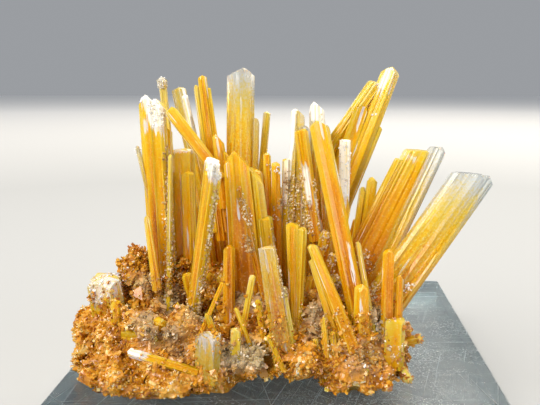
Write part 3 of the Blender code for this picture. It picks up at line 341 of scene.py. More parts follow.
# crystals and stubs that stand out of the base and are grown into it
BASE_CRYSTALS = make_blades(
    # the long orange blade lying across the front of the left lobe
    ((-16.8, -43.6, 6.2), (-31.8, -44.4, 10.8), (2, 2.2), (2.6, 2.2), 20, 0.6),
    # the pale plate on the left shoulder
    ((-40.4, -25, 9), (-41.3, -28.6, 23), (8.8, 7.6), (6.4, 5.4), -16, 0.8, (0.35, 0.25, 0.6, 0.3), (1, 0)),
    # the upright stub, the striated roll and the bright lump over it
    ((-36.2, -36.4, 8), (-36.4, -36, 19.8), (2.3, 2.2), (2.2, 2), 10, 0.6),
    ((-34.4, -37.6, 12.6), (-26.2, -38.4, 10.8), (4.2, 3), (3.8, 3), 0, 0.5),
    # the pale flat-faced block and the small one beside it
    ((-14.6, -42.6, 4), (-14.6, -42.8, 15.2), (6.2, 5.4), (4.6, 3.6), -20, 0.75),
    ((-9, -40.4, 8), (-9, -40.2, 15.2), (2.4, 2.2), (2.2, 2), 15, 0.75),
    # needles and short prisms along the front
    ((-17.4, -37.6, 11.6), (-11.9, -37.8, 24.6), (1.2, 1), (1.2, 1), 0, 0.5),
    ((-8.4, -36, 10), (-5.5, -36.4, 26), (1.5, 1.7), (1.4, 1.4), 20, 0.55),
    ((-5.4, -38.2, 8.6), (-9.1, -38.6, 19.2), (1.2, 1), (1.2, 1), 0, 0.5),
    ((1.6, -41.4, 6), (-1.8, -42.2, 14.4), (1.2, 1), (1.2, 1), 0, 0.5),
    ((-13, -36.6, 8), (-15.6, -38, 17.6), (2.2, 1.4), (1.8, 1.2), 0, 0.5),
    ((-2.6, -36.4, 8), (-4.4, -37, 20.6), (1.8, 1.4), (1.6, 1.2), 0, 0.5),
    ((-19.6, -36, 10), (-22.6, -36.8, 19.4), (1.6, 1.1), (1.6, 1.1), 0, 0.5),
    # the amber mass under the long blade and the striated prism beside it
    ((18.8, -35, 3), (18.4, -33.8, 23.6), (4.6, 3), (3.6, 3), 12, 0.6),
    ((24.3, -31.8, 8), (24.3, -31.4, 31), (3, 2.7), (2.4, 2.2), 12, 0.7),
    ((26.9, -31.2, 8), (27.1, -31, 25), (2.2, 1.6), (2.2, 1.6), 0, 0.5),
    # the flat-topped block, the cone and the ledge at the right
    ((25.9, -33.2, 4), (26.1, -33, 15.4), (4.6, 4.4), (3.6, 3.4), -14, 0.8, (0.08, 0.1, 0.2, 0.1)),
    ((26, -31.4, 5), (29.8, -35.4, 1.4), (3.4, 1.6), (3.2, 1.6), 0, 0.5),
    ((28.6, -28, 8), (33, -28.6, 9.4), (2.6, 1.8), (2.4, 1.8), 0, 0.5),
    ((13, -38.6, 6), (20.2, -38.8, 5.2), (3, 2.4), (3, 2.6), 0, 0.7),
    ((16.6, -38.4, 2.4), (16.8, -41, 4.6), (3.2, 2.8), (3.2, 2.6), 0, 0.8),
    ((11.4, -37.4, 2.4), (11, -40.4, 0.9), (1.6, 1.2), (1.6, 1.2), 0, 0.5),
    # small lumps and tips behind the wedge
    ((-0.8, -20.6, 20), (-1.4, -20.4, 49), (2.6, 2.2), (2.4, 2), 25, 0.5),
    ((-3, -19.6, 20), (-3.6, -18.8, 51), (2.4, 1.8), (2.4, 1.8), 0, 0.5),
    # the lump behind the long blade
    ((-25, -36, 13), (-27, -38.8, 15.9), (3.2, 2.8), (3, 2.6), 20, 0.6),
)

# how high the inner blades may reach, by their place across
INNER_SKYLINE = [
    (-36, 26), (-31, 40), (-24, 44), (-16, 45), (-9, 42), (-2, 40),
    (6, 42), (13, 38), (20, 32), (28, 20), (34, 12),
]


STUB_TONES = {
    0: (0.24, 0.36), 1: (0.44, 0.60), 2: (0.26, 0.38), 3: (0.36, 0.46), 4: (0.34, 0.80), 5: (0.40, 0.66),
    6: (0.20, 0.30), 7: (0.24, 0.60), 13: (0.10, 0.26), 14: (0.12, 0.26), 15: (0.12, 0.26), 16: (0.24, 0.50),
    17: (0.40, 0.56), 19: (0.26, 0.46), 20: (0.34, 0.70), 22: (0.16, 0.34), 23: (0.16, 0.34),
    24: (0.20, 0.30),
}

# A Streak is a stretch of the cluster, from one place to the other, with its radius and how strongly it shows
Streak = namedtuple("Streak", "start end radius amount", defaults=(1,))


def make_streaks(*rows):
    return [Streak(*row) for row in rows]


# faces and bands painted white: partly frost, and partly painted highlights where faces catch the light
FROST_AND_HIGHLIGHTS = make_streaks(
    ((-30, -22.4, 79), (-28.2, -23.3, 74.5), 3),
    ((-31.7, -21.7, 80.5), (-31.6, -21.8, 79), 1.8, 0.9),
    ((-32.4, -22.4, 74.8), (-31.6, -23.2, 73.8), 1.3, 0.6),
    ((-30.6, -9, 84.4), (-30.6, -9, 82.6), 2, 0.5),
    ((2.5, -17.4, 77.4), (0.7, -19, 56), 1.5, 0.75),
    ((6.2, -13.8, 79.5), (9.4, -15, 74.5), 3.2, 0.66),
    ((9.4, -15, 74.5), (11, -15.6, 68), 1.6, 0.5),
    ((5.2, -21, 64.6), (6.5, -21.2, 56), 1.2, 0.62),
    ((8.4, -20, 56), (9.5, -18.3, 46), 1.5, 0.75),
    ((25.4, -10, 85.6), (23.8, -9.6, 82.8), 1.9, 0.75),
    ((14.6, -22.7, 70.2), (15, -22.8, 57), 3.4, 0.54),
    ((-25.4, -6.9, 81), (-22.6, -7.6, 66), 2, 0.52),
    ((15.4, -31.8, 48), (16.7, -33.2, 39.5), 0.6, 0.5),
    ((-44.5, -29.3, 34), (-38, -29.2, 39), 6, 0.46),
    ((-15.5, -44.6, 31), (-12.8, -45, 28), 3.4, 0.42),
    ((-33, -43.4, 27.4), (-29, -44.2, 26.6), 2.2, 0.9),
    ((-9, -13.6, 87), (-7.4, -12, 84), 1.6, 0.8),
    ((-14.7, -35.3, 67.4), (-13.3, -34.6, 64), 2.4),
    ((41, -22, 63.4), (47.5, -21.5, 61), 1.3, 0.5),
    ((-25.7, -18.4, 67.6), (-22, -16.9, 67), 1.3, 0.6),
    ((29, -19, 66.4), (35, -19, 65.4), 0.9, 0.55),
    ((24.4, -34.4, 32), (27.8, -34.4, 32), 1.2, 0.6),
    ((15.6, -42, 20.5), (18, -42, 20.5), 2.2, 0.6),
)
# sugary white grains
SUGAR_PLACES = make_streaks(
    ((-30, -22.4, 78.4), (-28.5, -23.2, 74.4), 1.9),
    ((-31.7, -21.7, 80), (-31.6, -21.8, 79), 1.1, 0.8),
    ((-30.6, -9, 84), (-30.6, -9, 82.8), 1.5, 0.5),
    ((-14.7, -35.3, 67), (-13.4, -34.7, 63.8), 1.7),
    ((9, -14.6, 75.4), (9.8, -15.2, 73), 1, 0.4),
    ((-2.7, -19.1, 64), (-2.7, -19.1, 63.4), 1.1, 0.9),
    ((-1.1, -21.3, 63.3), (-1.1, -21.3, 62.8), 1.1, 0.9),
    ((14.6, -22.9, 69), (14.9, -22.9, 57), 2, 0.25),
    ((22.5, -10.9, 76.2), (22.2, -10.9, 75.6), 0.9, 0.7),
    ((29.8, -27.8, 37.5), (29.2, -28.2, 36.8), 1.2, 0.8),
    ((-4.5, -34, 35.6), (-4.5, -34, 34), 1.6, 0.9),
    ((7.1, -30.5, 46), (7.1, -30.5, 45), 1.2, 0.8),
    ((-4.6, -42, 18.6), (1, -42.4, 18.8), 1.4),
    ((-33.8, -22.4, 67.6), (-33.6, -22.4, 66.8), 0.9, 0.8),
    ((-44.5, -29.3, 34), (-38, -29.2, 39), 3.4, 0.3),
    ((17.6, -39, 24.4), (26.6, -36, 24.8), 3.6, 0.22),
    ((22.4, -40, 21.1), (27.4, -38, 19.6), 3, 0.15),
)
# seams of tan dust
DUST_PLACES = make_streaks(
    ((-26.8, -22, 67.6), (-25.4, -26.4, 43.3), 2),
    ((-25.4, -26.4, 43.3), (-24, -27.4, 35), 3),
    ((-13.4, -34, 59), (-18.3, -31.8, 33.4), 1.5),
    ((-7.3, -28.8, 47.9), (-6.3, -33, 40), 2, 0.85),
    ((0.6, -35.8, 48), (1.2, -37, 38), 1.6),
    ((10.4, -27.5, 48.9), (13.8, -29.4, 36.4), 2.6),
    ((20.2, -22.8, 42), (21, -28, 35), 3, 0.9),
    ((2.2, -19.6, 60), (3, -22, 48), 2.8, 0.8),
    ((9, -19.6, 60), (10.5, -22, 48), 2.4, 0.8),
    ((-44.5, -29.3, 34), (-38, -29.2, 39), 5, 0.12),
    ((-10.2, -27, 61.4), (-5.1, -30, 46.8), 1.2, 0.6),
    ((3.6, -20, 61.6), (6.6, -22, 48.8), 2.4, 0.6),
    ((0, -20, 54.9), (-1.8, -26, 48.1), 2.4, 0.5),
)
# where larger crystals show between the grains: the long blade, the roll, the lump and the pale block
BARE = make_streaks(
    ((-17, -43.8, 22.6), (-31.6, -44.6, 26.6), 1.7),
    ((-34, -39, 28.4), (-26.4, -39.8, 26.8), 1.9),
    ((-26.4, -38.6, 31.6), (-26, -38.6, 31.4), 2.2),
    ((-14.6, -45.2, 24), (-14.6, -45, 31), 3, 0.9),
    ((26, -35.4, 28), (26, -35.4, 31), 2.2, 0.9),
    ((16.8, -40.4, 19), (16.8, -42.4, 21), 2.8),
    ((13.4, -40, 22.2), (20, -40.2, 21.4), 1.8, 0.9),
)
# parts of the crust that are dusty tan
DUSTY = make_streaks(
    ((-25, -29, 33), (-20, -34, 31), 5),
    ((-12, -40, 25), (-5, -40, 25), 5),
    ((8.5, -35, 29), (8.5, -33, 34), 3.6, 0.9),
    ((22, -32, 33), (23, -32, 28), 3.4, 0.9),
    ((-8, -30, 36), (2, -28, 36), 6, 0.8),
    ((-33, -30, 36), (-29, -28, 38), 4, 0.6),
    ((-29, -39, 31), (-21, -41, 27.5), 5, 0.7),
    ((17.6, -39, 24.4), (26.6, -36, 24.8), 4.5, 0.5),
)


def link(thing):
    bpy.context.scene.collection.objects.link(thing)
    return thing


def new_object(name, bm):
    mesh = bpy.data.meshes.new(name)
    bm.to_mesh(mesh)
    bm.free()
    return link(bpy.data.objects.new(name, mesh))


def new_piece(name, bm, materials, node=None):
    bm.normal_update()
    return dress(new_object(name, bm), materials, node)


def dress(piece, materials, node=None):
    """Gives a piece its materials, puts it under the root and hides the CAD node that it replaces, if any."""
    for material in materials:
        piece.data.materials.append(material)
    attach(piece, "root")
    if node:
        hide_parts(node)
    return piece


def read(items, name, width, kind=float):
    """A property of some mesh items, as the rows of an array."""
    out = np.empty(len(items) * width, kind)
    items.foreach_get(name, out)
    return out.reshape(-1, width)


def set_tones(mesh, tones):
    layer = mesh.color_attributes.new("tone", "FLOAT_COLOR", "POINT")
    layer.data.foreach_set("color", tones.ravel())


def nearness(places, streaks):
    """How strongly each place, in millimetres, lies within some streaks, from 0 to 1."""
    out = np.zeros(len(places))
    for streak in streaks:
        start, along = np.array(streak.start), np.array(streak.end) - np.array(streak.start)
        share = np.clip((places - start) @ along / max(along @ along, 1e-9), 0, 1)
        gap = np.linalg.norm(places - start - share[:, None] * along, axis=1) / streak.radius
        out = np.maximum(out, streak.amount * np.clip(1.6 - 1.6 * gap, 0, 1))
    return out


# ---- materials


def linear(code):
    """An sRGB hex colour as the linear colour that a shader takes."""
    out = []
    for k in (0, 2, 4):
        value = int(code[k:k + 2], 16) / 255
        out.append(value / 12.92 if value <= 0.04045 else ((value + 0.055) / 1.055) ** 2.4)
    return (*out, 1.0)


def add(tree, kind, links=(), **settings):
    """A node with its settings, and its links as (input, output socket) pairs."""
    node = tree.nodes.new(kind)
    for key, value in settings.items():
        setattr(node, key, value)
    for socket, source in links:
        tree.links.new(source, node.inputs[socket])
    return node


def fill(node, **values):
    """Sets or links a node's inputs, named with _ for a space."""
    for key, value in values.items():
        put(node, key.replace("_", " "), value)


def put(node, name, value):
    if isinstance(value, bpy.types.NodeSocket):
        node.id_data.links.new(value, node.inputs[name])
    else:
        node.inputs[name].default_value = linear(value) if isinstance(value, str) else value


def ramp(source, stops):
    node = add(source.id_data, "ShaderNodeValToRGB", [("Fac", source)])
    elements = node.color_ramp.elements
    while len(elements) < len(stops):
        elements.new(0.5)
    for element, (place, code) in zip(elements, stops):
        element.position = place
        element.color = linear(code)
    return node


def base_material(name, **values):
    mat = bpy.data.materials.new(name)
    mat.use_nodes = True
    shader = mat.node_tree.nodes["Principled BSDF"]
    fill(shader, **values)
    return mat, shader


# Selenite gypsum with its natural growth faces: glassy, striated along its length every few tenths of a
# millimetre, clear at the tips and stained by iron towards the root. Its tone attribute holds the growth
# along the blade and its frost with painted highlights, and its UV map holds millimetres around and along it.
SELENITE_STOPS = [
    (0.00, "c07206"), (0.10, "e89806"), (0.22, "f5b20c"), (0.36, "f9ca1c"),
    (0.52, "fadb48"), (0.70, "f6e28c"), (0.88, "f1ecdc"), (1.00, "ecf3f7"),
]


def noise_on(vector, scale, detail=3.0, rough=0.55, flat=True):
    mapping = add(vector.id_data, "ShaderNodeMapping", [("Vector", vector)])
    fill(mapping, Scale=scale)
    node = add(vector.id_data, "ShaderNodeTexNoise", [("Vector", mapping.outputs["Vector"])])
    node.noise_dimensions = "2D" if flat else "3D"
    fill(node, Scale=1.0, Detail=detail, Roughness=rough)
    return node.outputs["Fac"]


def span(value, low, high, to_low=0.0, to_high=1.0):
    node = add(value.id_data, "ShaderNodeMapRange", [("Value", value)])
    fill(node, From_Min=low, From_Max=high, To_Min=to_low, To_Max=to_high)
    return node.outputs["Result"]


def maths(operation, first, second, clamp=False):
    node = add(first.id_data, "ShaderNodeMath", operation=operation, use_clamp=clamp)
    put(node, 0, first)
    put(node, 1, second)
    return node.outputs[0]


def blend(factor, first, second):
    node = add(factor.id_data, "ShaderNodeMix", [("Factor", factor)], data_type="RGBA")
    fill(node, A=first, B=second)
    return node.outputs["Result"]


def bump(shader, height, strength, depth, **settings):
    """A bump of some height, up to depth millimetres."""
    relief = add(height.id_data, "ShaderNodeBump", [("Height", height)], **settings)
    fill(relief, Strength=strength, Distance=depth * MM)
    fill(shader, Normal=relief.outputs["Normal"])


def tone_of(shader):
    """The piece's own tone, and its third channel: frost with painted highlights on the blades, dust on the
    druse.
    """
    tree = shader.id_data
    tone = add(tree, "ShaderNodeAttribute", attribute_name="tone").outputs["Color"]
    split = add(tree, "ShaderNodeSeparateColor", [("Color", tone)])
    return split.outputs[0], split.outputs[2]


def position(shader):
    return add(shader.id_data, "ShaderNodeTexCoord").outputs["Object"]


def selenite(name, clear, rough, weave, milk, speck):
    """Weave is how strongly the striae change the colour, and speck is the same for the flecks.
    Milk is how many of them are white."""
    mat, shader = base_material(name, IOR=GYPSUM_IOR, Transmission_Weight=clear)
    tone, frost_and_highlight = tone_of(shader)
    grain = add(shader.id_data, "ShaderNodeUVMap", uv_map="grain").outputs["UV"]
    # striae half a millimetre apart and tens of millimetres long
    striae = noise_on(grain, (1.9, 0.04, 1.0), 3.0, 0.6)
    # veils: wisps and clouds a few millimetres long
    veils = noise_on(grain, (0.6, 0.16, 1.0), 5.0, 0.6)
    # flecks: dust and tiny bubbles, two in a millimetre
    flecks = noise_on(grain, (2.4, 1.5, 1.0), 2.0, 0.6)
    both = maths("ADD", striae, veils)
    swing = maths("MULTIPLY", maths("SUBTRACT", both, 1.0), weave)
    swing = maths("ADD", swing, maths("MULTIPLY", maths("SUBTRACT", flecks, 0.5), speck))
    total = maths("ADD", tone, swing, clamp=True)
    colour = ramp(total, SELENITE_STOPS)
    # the finest striae and the flecks are milky, and frost, with its painted highlights, lies along the
    # striae
    pale = maths("MULTIPLY", span(striae, 0.60, 0.68), span(veils, 0.50, 0.62))
    dots = maths("MULTIPLY", span(flecks, 0.62, 0.70), 0.8)
    milky = maths("MULTIPLY", maths("MAXIMUM", pale, dots), milk)
    cloudy = blend(milky, colour.outputs["Color"], "fbe6b0")
    rime_and_highlight = maths("ADD", frost_and_highlight, maths("SUBTRACT", striae, 0.5))
    white = span(rime_and_highlight, 0.30, 0.46)
    chalk_and_highlight = blend(span(striae, 0.35, 0.6), "f3e3b8", "fdfcf8")
    fill(shader, Base_Color=blend(white, cloudy, chalk_and_highlight))
    haze = span(veils, 0.35, 0.7, rough, rough + 0.16)
    fill(shader, Roughness=maths("ADD", haze, maths("MULTIPLY", white, 0.3)))
    height = maths("ADD", striae, maths("MULTIPLY", flecks, 0.35))
    bump(shader, height, 0.16, 0.25)
    return mat, shader


def glow(shader, weight, reach):
    """Light that soaks into the crystal, reach millimetres deep in red and less in blue."""
    fill(shader, Subsurface_Weight=weight, Subsurface_Radius=(1.0, 0.8, 0.3), Subsurface_Scale=reach * MM)


def soak(shader, code, density):
    """Colour that deepens with the way the light takes through the crystal."""
    tree = shader.id_data
    volume = add(tree, "ShaderNodeVolumeAbsorption")
    fill(volume, Color=code, Density=density)
    fill(tree.nodes["Material Output"], Volume=volume.outputs["Volume"])


CLEAR, clear_shader = selenite("selenite_clear_striated", 0.66, 0.03, 0.30, 0.65, 0.85)
soak(clear_shader, "fff0b8", 60.0)
AMBER, amber_shader = selenite("selenite_amber_striated", 0.42, 0.05, 0.34, 0.30, 0.2)
fill(amber_shader, Specular_IOR_Level=0.20)
soak(amber_shader, "ffec70", 400.0)
glow(amber_shader, 0.35, 1.6)
# frosted white faces: partly real frost, partly painted highlights
FROSTED_AND_HIGHLIT, _ = selenite("selenite_frosted_white", 0.12, 0.22, 0.20, 0.40, 0.3)


# Druse: a skin of small gypsum crystals, wet-looking and orange to tan, each with its own tone
def druse_material(name, stops, clear, rough, coat=0.0):
    mat, shader = base_material(
        name, IOR=GYPSUM_IOR, Roughness=rough, Transmission_Weight=clear, Coat_Weight=coat
    )
    tone, dusty = tone_of(shader)
    place = position(shader)
    # stains a few millimetres across
    stain = noise_on(place, [180.0] * 3, 4.0, 0.6, False)
    # and flecks half a millimetre across
    fleck = noise_on(place, [1600.0] * 3, 2.0, 0.6, False)
    both = maths("ADD", stain, maths("MULTIPLY", fleck, 0.4))
    shift = maths("MULTIPLY", maths("SUBTRACT", both, 0.7), 1.7)
    total = maths("ADD", tone, shift, clamp=True)
    colour = ramp(total, stops)
    fill(shader, Base_Color=blend(dusty, colour.outputs["Color"], "cbb48a"))
    return mat, shader


ORANGE_STOPS = [
    (0.0, "965206"), (0.22, "c0760c"), (0.45, "dd9620"), (0.65, "ecb245"), (0.82, "f1cf86"), (1.0, "faefd2"),
]
DUST_STOPS = [(0.0, "8a6534"), (0.35, "b3905a"), (0.65, "d2ba8c"), (1.0, "efe6d0")]
SUGAR_STOPS = [(0.0, "e9dcc0"), (0.4, "f6f0e4"), (1.0, "ffffff")]
CRUST_STOPS = [(0.0, "84480a"), (0.3, "b57412"), (0.55, "d6941f"), (0.8, "e4b050"), (1.0, "ecd3a0")]
ORANGE_DRUSE, orange_shader = druse_material("gypsum_druse_iron_stained", ORANGE_STOPS, 0.25, 0.20, 0.25)
glow(orange_shader, 0.35, 1.2)
DUST, _ = druse_material("gypsum_druse_dusty_tan", DUST_STOPS, 0.0, 0.4)
SUGAR, _ = druse_material("gypsum_druse_sugar_white", SUGAR_STOPS, 0.15, 0.2)
CRUST, _ = druse_material("gypsum_crust_rough", CRUST_STOPS, 0.0, 0.32, 0.3)


# Cast acrylic: clear, with a polished top that handling has covered in fine scratches and a haze of dust
def acrylic_top():
    mat, shader = base_material(
        "cast_acrylic_scratched", IOR=ACRYLIC_IOR, Transmission_Weight=1.0, Base_Color="f6f9fa"
    )
    place = position(shader)
    lines = 0.0
    for turn, least in SCRATCHES:
        mapping = add(shader.id_data, "ShaderNodeMapping", [("Vector", place)])
        fill(mapping, Rotation=(0.0, 0.0, turn))
        streak = noise_on(mapping.outputs["Vector"], (2600.0, 34.0, 34.0), 2.0, 0.6, False)
        lines = maths("MAXIMUM", span(streak, least - 0.05, least), lines)
    haze = noise_on(place, [1700.0] * 3, 3.0, 0.7, False)
    cloud = noise_on(place, (40.0, 60.0, 40.0), 3.0, 0.6, False)
    dust = maths("MULTIPLY", span(haze, 0.50, 0.60), span(cloud, 0.38, 0.60))
    worn = maths("MAXIMUM", maths("MULTIPLY", dust, 0.7), lines)
    fill(shader, Roughness=span(worn, 0.0, 1.0, 0.03, 0.5))
    bump(shader, lines, 0.8, 0.05, invert=True)
    soak(shader, ACRYLIC_TINT, ACRYLIC_DENSITY)
    return mat


# the block's sides are sawn and left matt, so they scatter the light
def acrylic_side():
    mat, shader = base_material(
        "cast_acrylic_sawn", IOR=ACRYLIC_IOR, Transmission_Weight=0.72, Base_Color="f6fafb"
    )
    place = position(shader)
    saw = noise_on(place, (900.0, 900.0, 70.0), 4.0, 0.6, False)
    fill(shader, Roughness=span(saw, 0.3, 0.7, 0.45, 0.75))
    bump(shader, saw, 0.6, 0.1)
    soak(shader, ACRYLIC_TINT, ACRYLIC_DENSITY)
    return mat


# ---- blades


def blade_frame(spec):
    foot = Vector(spec.foot)
    axis = Vector(spec.tip) - foot
    length = axis.length
    axis.normalize()
    across = Vector((1.0, 0.0, 0.0))
    if abs(axis.x) > 0.9:
        across = Vector((0.0, 0.0, 1.0))
    across = (across - axis * across.dot(axis)).normalized()
    across = Matrix.Rotation(math.radians(spec.turn), 3, axis) @ across
    back = axis.cross(across)
    place = Matrix((across, back, axis)).transposed().to_4x4()
    place.translation = foot
    return place, length


def ribbed_section(spec, chance, ribs):
    """Points round the flattened hexagon of a blade: two close ones at each corner and the ribs between."""
    flat = spec.flat
    corners = [(-1, 0), (-flat, -1), (flat, -1), (1, 0), (flat, 1), (-flat, 1)]
    corners = [Vector((x + chance.uniform(-0.07, 0.07), y * chance.uniform(0.92, 1.0))) for x, y in corners]
    sides = list(zip(corners, corners[1:] + corners[:1]))
    wide = spec.width[1] / spec.thick[1]
    lengths = [math.hypot((b.x - a.x) * wide, b.y - a.y) for a, b in sides]
    points = []
    for (a, b), long in zip(sides, lengths):
        steps = max(2, round(ribs * long / sum(lengths)))
        inward = Vector((a.y - b.y, b.x - a.x)).normalized()
        edge = min(0.3, 0.16 / (long * spec.thick[1]))
        shares = [edge] + [(n + chance.uniform(-0.3, 0.3)) / steps for n in range(1, steps)] + [1.0 - edge]
        for share in shares:
            middle = edge < share < 1.0 - edge
            groove = chance.choice((0.0, 0.03, 0.07, 0.12)) if middle else 0.0
            points.append((a.lerp(b, share), inward, groove))
    return points


def cut_end(bm, point, normal):
    geometry = bm.verts[:] + bm.edges[:] + bm.faces[:]
    bmesh.ops.bisect_plane(bm, geom=geometry, plane_co=point, plane_no=normal, clear_outer=True)
    bmesh.ops.remove_doubles(bm, verts=bm.verts, dist=0.002)
    rim = [e for e in bm.edges if e.is_boundary]
    if rim:
        bmesh.ops.holes_fill(bm, edges=rim, sides=0)


def add_blade(bm, spec, ribs, tones, milk, seed):
    """Adds a ribbed blade with its tone, its frost with painted highlights, and its map of millimetres."""
    chance = random.Random(seed)
    place, length = blade_frame(spec)
    points = ribbed_section(spec, chance, ribs)
    count = len(points)
    reach = length + max(spec.width[1], spec.thick[1])
    rings = max(4, round(reach / RING_STEP))
    own = bmesh.new()
    tone_layer = own.verts.layers.float_color.new("tone")
    map_layer = own.loops.layers.uv.new("grain")
    side_layer = own.faces.layers.int.new("side")
    bmesh.ops.create_cone(own, cap_ends=True, segments=count, radius1=1.0, radius2=1.0, depth=1.0)
    upright = [e for e in own.edges if abs(e.verts[0].co.z - e.verts[1].co.z) > 0.5]
    bmesh.ops.subdivide_edges(own, edges=upright, cuts=rings - 1, use_grid_fill=True)
    levels = [[] for _ in range(rings + 1)]
    for vert in own.verts:
        levels[round((vert.co.z + 0.5) * rings)].append(vert)
    spin = chance.uniform(0, 90)
    ends = [chance.uniform(0.25, 1.3) for _ in points]
    own_shift = chance.uniform(-0.05, 0.05)
    root, top, sharp = (*tones, TONE_POWER)[:3]
    rank = {}
    for level, verts in enumerate(levels):
        share = level / rings
        wide = spec.width[0] + (spec.width[1] - spec.width[0]) * share
        deep = spec.thick[0] + (spec.thick[1] - spec.thick[0]) * share
        verts.sort(key=lambda v: math.atan2(v.co.y, v.co.x))
        for n, (vert, (point, inward, dip)) in enumerate(zip(verts, points)):
            rank[vert] = n
            if dip and share > ends[n]:
                dip += 0.12
            spot = point + inward * dip
            vert.co = (spot.x * wide / 2, spot.y * deep / 2, share * reach)
            along = min(1.0, share * reach / length)
            stripe = noise.noise(Vector((n * 0.45 + spin, share * reach * 0.07, 3.0)))
            # the thin edges of a blade are paler than its thick heart
            thin = 0.20 * abs(point.x) ** 3 - 0.05
            tone = root + (top - root) * along ** sharp + own_shift + thin + 0.12 * stripe
            band = noise.noise(Vector((n * 0.8 + spin, share * reach * 0.09, 9.0)))
            frost_and_highlight = milk * min(1.0, max(0.0, band - 0.34) * 4.0) * (0.3 + 0.6 * along)
            # corners and flat ribs are painted paler, with a touch of frost-white: a painted highlight along
            # the edges
            if not dip:
                tone += 0.07
                frost_and_highlight = max(frost_and_highlight, 0.14 * milk)
            vert[tone_layer] = (max(0.0, tone), chance.random(), frost_and_highlight, 1.0)
    for face in own.faces:
        if len(face.verts) == 4:
            face[side_layer] = 1
            seam = {rank[v] for v in face.verts} == {0, count - 1}
            for loop in face.loops:
                n = rank[loop.vert]
                loop[map_layer].uv = ((count if seam and n == 0 else n) * RIB_PITCH + spin, loop.vert.co.z)
    bmesh.ops.recalc_face_normals(own, faces=own.faces[:])
    peak = Vector((spec.apex[0], spec.apex[1], length))
    left, right, front, rear = spec.roof
    for x, y in ((-left, -0.4 * front), (right, -0.4 * front), (0.1, -front), (-0.1, rear)):
        cut_end(own, peak, Vector((x, y, 1.0)))
    chips = chance.choice((1, 2, 2, 3)) if spec.width[1] < CHIPPED_WIDTH else 0
    for _ in range(chips):
        turn = chance.uniform(0, FULL_TURN)
        steep = chance.uniform(0.7, 2.2)
        normal = Vector((math.cos(turn) * steep, math.sin(turn) * steep, 1.0)).normalized()
        limit = max(v.co.dot(normal) for v in own.verts) - chance.uniform(0.12, 0.4)
        cut_end(own, normal * limit, normal)
    bmesh.ops.recalc_face_normals(own, faces=own.faces[:])
    for face in own.faces:
        if not face[side_layer]:
            for loop in face.loops:
                x, y, z = loop.vert.co
                loop[map_layer].uv = (x * 1.3 + spin, y + 0.4 * z)
        face.material_index = 1 if top > CLEAR_TONE else 0
    lift = Matrix.Translation((0.0, 0.0, BLOCK_HEIGHT))
    bmesh.ops.transform(own, matrix=Matrix.Scale(MM, 4) @ lift @ place, verts=own.verts)
    mesh = bpy.data.meshes.new("blade")
    own.to_mesh(mesh)
    own.free()
    bm.from_mesh(mesh)
    bpy.data.meshes.remove(mesh)


def blade_piece(name, blades, ribs, tones, single, milk, node=None):
    bm = bmesh.new()
    for n, spec in enumerate(blades):
        add_blade(bm, spec, ribs, single.get(n, tones), milk, f"{name}{n}")
    piece = new_piece(name, bm, [AMBER, CLEAR, FROSTED_AND_HIGHLIT], node)
    mesh = piece.data
    layer = mesh.attributes["tone"]
    colours = read(layer.data, "color", 4, np.float32)
    # the listed stretches are painted white and get the frosted material: frost, and painted highlights
    white = nearness(read(mesh.vertices, "co", 3) / MM, FROST_AND_HIGHLIGHTS)
    colours[:, 2] = np.maximum(colours[:, 2], white)
    layer.data.foreach_set("color", colours.ravel())
    for face in mesh.polygons:
        if np.mean(white[list(face.vertices)]) > 0.5:
            face.material_index = 2
    return piece


def skyline(x):
    for (x0, z0), (x1, z1) in zip(INNER_SKYLINE, INNER_SKYLINE[1:]):
        if x0 <= x <= x1:
            return z0 + (z1 - z0) * (x - x0) / (x1 - x0)
    return 10.0


def apart(a, b, steps=9):
    """The least distance between the middle lines of two blades, less their half widths."""
    least = 1e9
    for i in range(steps + 1):
        p = Vector(a.foot).lerp(Vector(a.tip), i / steps)
        for j in range(steps + 1):
            q = Vector(b.foot).lerp(Vector(b.tip), j / steps)
            least = min(least, (p - q).length)
    return least - 0.25 * (a.width[0] + b.width[0] + a.thick[0] + b.thick[0])


def inner_blades(mains):
    """Blades of middling size that fill the heart of the cluster, leaning outwards like a fan."""
    chance = random.Random(INNER_SEED)
    found = []
    for _ in range(INNER_TRIES):
        across = chance.uniform(*INNER_ACROSS)
        deep = chance.uniform(*INNER_DEEP)
        lean = Vector(((across + 6) * 0.012, (deep + 16) * 0.013, 1.0)).normalized()
        foot = Vector((across, deep, INNER_FOOT))
        top = skyline(across + 20 * lean.x) * chance.uniform(0.7, 1.0)
        if deep < -26:
            top = min(top, 24)
        tip = foot + lean * (top - INNER_FOOT) / lean.z
        if top < INNER_LEAST_TOP or tip.x < INNER_LEFT:
            continue
        wide = chance.uniform(2.2, 4.4)
        spec = Blade(
            tuple(foot), tuple(tip), (wide, wide * 0.85), (wide * 0.8, wide * 0.65),
            chance.uniform(-40, 40), 0.55, (chance.uniform(0.3, 1.1), chance.uniform(0.3, 1.1), 0.4, 0.5),
        )
        clear = all(apart(spec, other) > INNER_GAP for other in mains)
        if clear and all(apart(spec, other) > -INNER_OVERLAP for other in found):
            found.append(spec)
        if len(found) == INNER_COUNT:
            break
    return found


# ---- the crust and its druse

LOW = np.array(at_load[0]) / MM
HIGH = np.array(at_load[1]) / MM


